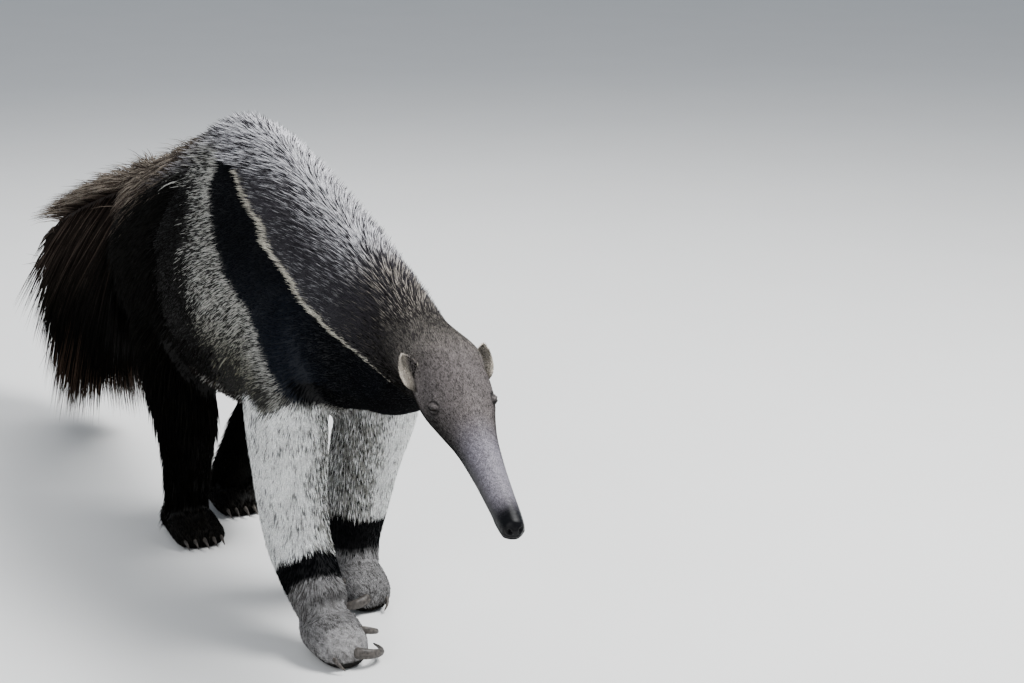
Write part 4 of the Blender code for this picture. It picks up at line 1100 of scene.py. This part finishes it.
def ranged(tree, source, *limits):
    """A value carried from one range to another: from low, from high, to low, to high."""
    settings = list(zip(("From Min", "From Max", "To Min", "To Max"), limits))
    return linked(tree, "ShaderNodeMapRange", settings, [("Value", source)]).outputs["Result"]


def times(tree, one, other):
    product = linked(tree, "ShaderNodeMath", [("operation", "MULTIPLY")], [(0, one), (1, other)])
    return product.outputs["Value"]


def tinted(tree, shader, factor):
    """The colour stored at each point, times the factor, as the base colour."""
    colour = linked(tree, "ShaderNodeVectorMath", [("operation", "SCALE")],
                    [(0, point_value(tree, "coat", "Color")), ("Scale", factor)])
    tree.links.new(colour.outputs["Vector"], shader.inputs["Base Color"])


def embossed(tree, shader, height, strength, distance):
    settings = [("Strength", strength), ("Distance", distance)]
    bump = linked(tree, "ShaderNodeBump", settings, [("Height", height)])
    tree.links.new(bump.outputs["Normal"], shader.inputs["Normal"])


def mottled(tree, shader, source, *stops):
    """Base colour between two colours, each given with its place in the noise."""
    ramp = linked(tree, "ShaderNodeValToRGB", (), [("Fac", source)])
    for element, (place, colour) in zip(ramp.color_ramp.elements, stops):
        element.position = place
        element.color = (*colour, 1)
    tree.links.new(ramp.outputs["Color"], shader.inputs["Base Color"])


def fur_material():
    """Hair: each tuft has its own colour; a fine noise breaks it up, and roots are darker than tips."""
    material, tree, shader, place = nodes_of("coat", 0.62, 0.015)
    noise = noise_at(tree, place, 950.0, 2.0)
    speckle = ranged(tree, noise, 0.36, 0.64, 0.6, 1.38)
    patches = ranged(tree, noise_at(tree, place, 55.0, 3.0), 0.3, 0.7, 0.84, 1.14)
    rise = ranged(tree, point_value(tree, "along", "Fac"), 0.0, 0.7, 0.55, 1.12)
    tinted(tree, shader, times(tree, times(tree, speckle, patches), rise))
    embossed(tree, shader, noise, 0.25, 0.0006)
    return material


def skin_material():
    """Skin under the coat, and the short flat hair of the face as streaks in colour and relief."""
    material, tree, shader, place = nodes_of("hide", 0.5, 0.12)
    bare = point_value(tree, "bare", "Fac")
    turn = Matrix([AHEAD_OF_HEAD, LEFT_OF_HEAD, TOP_OF_HEAD]).inverted().to_euler()
    lined = linked(tree, "ShaderNodeMapping", [("vector_type", "TEXTURE"), ("Rotation", turn)],
                   [("Vector", place)])
    stretch = linked(tree, "ShaderNodeMapping", [("Scale", (420.0, 1700.0, 1700.0))],
                     [("Vector", lined.outputs["Vector"])])
    hairs = noise_at(tree, stretch.outputs["Vector"], 1.0, 3.0, Roughness=0.6)
    pores = linked(tree, "ShaderNodeTexVoronoi", [("Scale", 1500.0)], [("Vector", place)])
    tinted(tree, shader, ranged(tree, hairs, 0.36, 0.64, 0.35, 1.65))
    tree.links.new(ranged(tree, bare, 0.0, 1.0, 0.62, 0.24), shader.inputs["Roughness"])
    relief = linked(tree, "ShaderNodeMix", [("data_type", "FLOAT")],
                    [(0, bare), (2, hairs), (3, pores.outputs["Distance"])])
    embossed(tree, shader, relief.outputs[0], 0.35, 0.0005)
    return material


def claw_material():
    """Horn: grey, mottled with near-black, with fine wear in relief."""
    material, tree, shader, place = nodes_of("horn", 0.5, 0.3)
    noise = noise_at(tree, place, 240.0, 5.0)
    mottled(tree, shader, noise, (0.3, (0.014, 0.012, 0.011)), (0.72, HORN))
    embossed(tree, shader, noise, 0.35, 0.0005)
    return material


def eye_material():
    """Wet dark eye: near-black, mottled with a touch of brown."""
    material, tree, shader, place = nodes_of("eye_wet", 0.22, 0.2)
    noise = noise_at(tree, place, 420.0, 3.0)
    mottled(tree, shader, noise, (0, (0.0035, 0.0025, 0.002)), (1, (0.02, 0.01, 0.006)))
    shader.inputs["Coat Weight"].default_value = 0.08
    shader.inputs["Coat Roughness"].default_value = 0.08
    return material


def floor_material():
    material, tree, shader, place = nodes_of("pale_floor", 0.85, 0.2)
    mottled(tree, shader, noise_at(tree, place, 3.0, 4.0), (0, (0.74, 0.74, 0.725)), (1, (0.78, 0.78, 0.765)))
    return material


def place_piece(made, material, *nodes):
    made.data.materials.clear()
    made.data.materials.append(material)
    made.data.polygons.foreach_set("use_smooth", np.ones(len(made.data.polygons), bool))
    made.data.transform(Matrix.Translation(Vector(SHIFT)))
    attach(made, "root")
    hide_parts(*nodes)


def bent_cone(name, path, radius, steps=6, tip=0.1, count=16, flat=0.8):
    rows = smooth_rows(path, steps)
    last = len(rows) - 1
    rings = []
    for i, row in enumerate(rows):
        along = unit(rows[min(i + 1, last)] - rows[max(i - 1, 0)])
        side = unit(np.cross(along, UP))
        size = radius * (1 - (1 - tip) * (i / last) ** 1.4)
        rings.append(oval(row, side, np.cross(side, along), size * flat, size, size, 0.0, count))
    return new_mesh_object(name, *loft(rings))


def side_place(place, x, inwards, z, side):
    return (place[0] + x, side * (place[1] - inwards), z)


def build_claws(material):
    for name, side in SIDES.items():
        place = FIST_AT[name]
        for digit, (path, radius) in FORE_CLAWS.items():
            points = [side_place(place, x, inwards, z, side) for x, inwards, z in path]
            claw = bent_cone(f"claw_{digit}_{name}", points, radius * CLAW_FIT)
            place_piece(claw, material, f"foreclaw_{digit}_{name}")
        place = HIND_FOOT_AT[name]
        for i, spread in enumerate(HIND_CLAW_SPREAD):
            points = [side_place(place, x - abs(spread) * 0.25, spread, z, side) for x, z in HIND_CLAW]
            claw = bent_cone(f"toe_claw_{i + 1}_{name}", points, HIND_CLAW_RADIUS * CLAW_FIT, 5, count=14)
            place_piece(claw, material, f"hind_claw_{i + 1}_{name}")


def build_eyes(material):
    for name, side in SIDES.items():
        builder = bmesh.new()
        bmesh.ops.create_uvsphere(builder, u_segments=40, v_segments=24, radius=EYE_RADIUS * 0.98)
        builder.transform(Matrix.Translation(Vector(eye_at(side))))
        mesh = bpy.data.meshes.new("eye")
        builder.to_mesh(mesh)
        builder.free()
        place_piece(linked_object("eyeball_" + name, mesh), material, "eye_" + name)


def light(name, place, aim, size, power):
    lamp = bpy.data.lights.new(name, "AREA")
    lamp.shape = "RECTANGLE"
    lamp.size, lamp.size_y = size
    lamp.energy = power
    made = linked_object(name, lamp)
    made.location = place
    made.rotation_euler = (Vector(aim) - Vector(place)).to_track_quat("-Z", "Y").to_euler()


def set_up_room():
    corners = [(x * FLOOR_HALF, y * FLOOR_HALF, 0) for x, y in ((-1, -1), (1, -1), (1, 1), (-1, 1))]
    floor = new_mesh_object("floor", corners, [(0, 1, 2, 3)])
    floor.data.materials.append(floor_material())
    world = bpy.data.worlds.new("room")
    world.use_nodes = True
    world.node_tree.nodes["Background"].inputs["Color"].default_value = (0.82, 0.89, 1.0, 1)
    world.node_tree.nodes["Background"].inputs["Strength"].default_value = 0.5
    bpy.context.scene.world = world
    light("key", (1.5, 1.7, 3.4), (0.1, 0, 0.35), (1.8, 1.8), 310)
    light("fill", (2.8, -2.4, 2.0), (0.2, 0, 0.3), (2.2, 1.8), 72)
    light("rim", (-2.4, 0.6, 2.8), (-0.2, 0, 0.4), (2.4, 1.2), 80)
    camera = bpy.data.cameras.new("camera")
    camera.lens = CAMERA_LENS
    camera.sensor_width = 36
    made = linked_object("camera", camera)
    made.location = Vector(CAMERA_AT) + Vector(SHIFT)
    made.rotation_euler = (math.radians(CAMERA_TILT), 0, math.radians(CAMERA_TURN))
    bpy.context.scene.camera = made


def dress_skin(skin, coat, hide):
    """Give the skin its colours, join the ears to it and hang its material on it."""
    points = mesh_points(skin.data)
    part = locate(points)[0]
    along = head_place(points)[0]
    dice = np.random.default_rng(3)
    colours = sum(coat_colour(points, part, dice) for _ in range(10)) / 10
    colours = colours * (0.6 + 0.4 * smooth(-0.14, 0.0, along) * (points[:, 0] > 0.4))[:, None]
    on_head = is_part(part, "head") & (along > 0.0)
    bareness = 0.5 * (smooth(0.09, 0.19, along) + smooth(0.25, 0.278, along)) * on_head
    builder = bmesh.new()
    builder.from_mesh(skin.data)
    for name, side in SIDES.items():
        ear_points, faces = ear_mesh(side)
        ear_fur(ear_points, faces, name, side, coat)
        ear = new_mesh_object("ear", ear_points, faces)
        builder.from_mesh(ear.data)
        bpy.data.objects.remove(ear)
        inside = np.arange(len(ear_points)) >= len(ear_points) // 2
        colours = np.concatenate([colours, ear_colour(ear_points, side, inside, dice) * 0.7])
        bareness = np.concatenate([bareness, np.zeros(len(ear_points))])
    builder.to_mesh(skin.data)
    builder.free()
    add_tint(skin.data, colours)
    add_shares(skin.data, "bare", bareness)
    kinds = ("ear", "foreleg", "forefoot", "hind_leg", "hind_foot")
    sides = [f"{kind}_{name}" for kind in kinds for name in SIDES]
    place_piece(skin, hide, "head", "neck", "torso", "tail", *sides)


def main():
    coat, hide, horn, wet = fur_material(), skin_material(), claw_material(), eye_material()
    skin = build_skin()
    shape_skin(skin)
    fine_fur(skin, coat)
    tail_fur(skin, coat)
    long_fur(skin, coat)
    dress_skin(skin, coat, hide)
    build_eyes(wet)
    build_claws(horn)
    set_up_room()
    bpy.context.view_layer.update()


main()
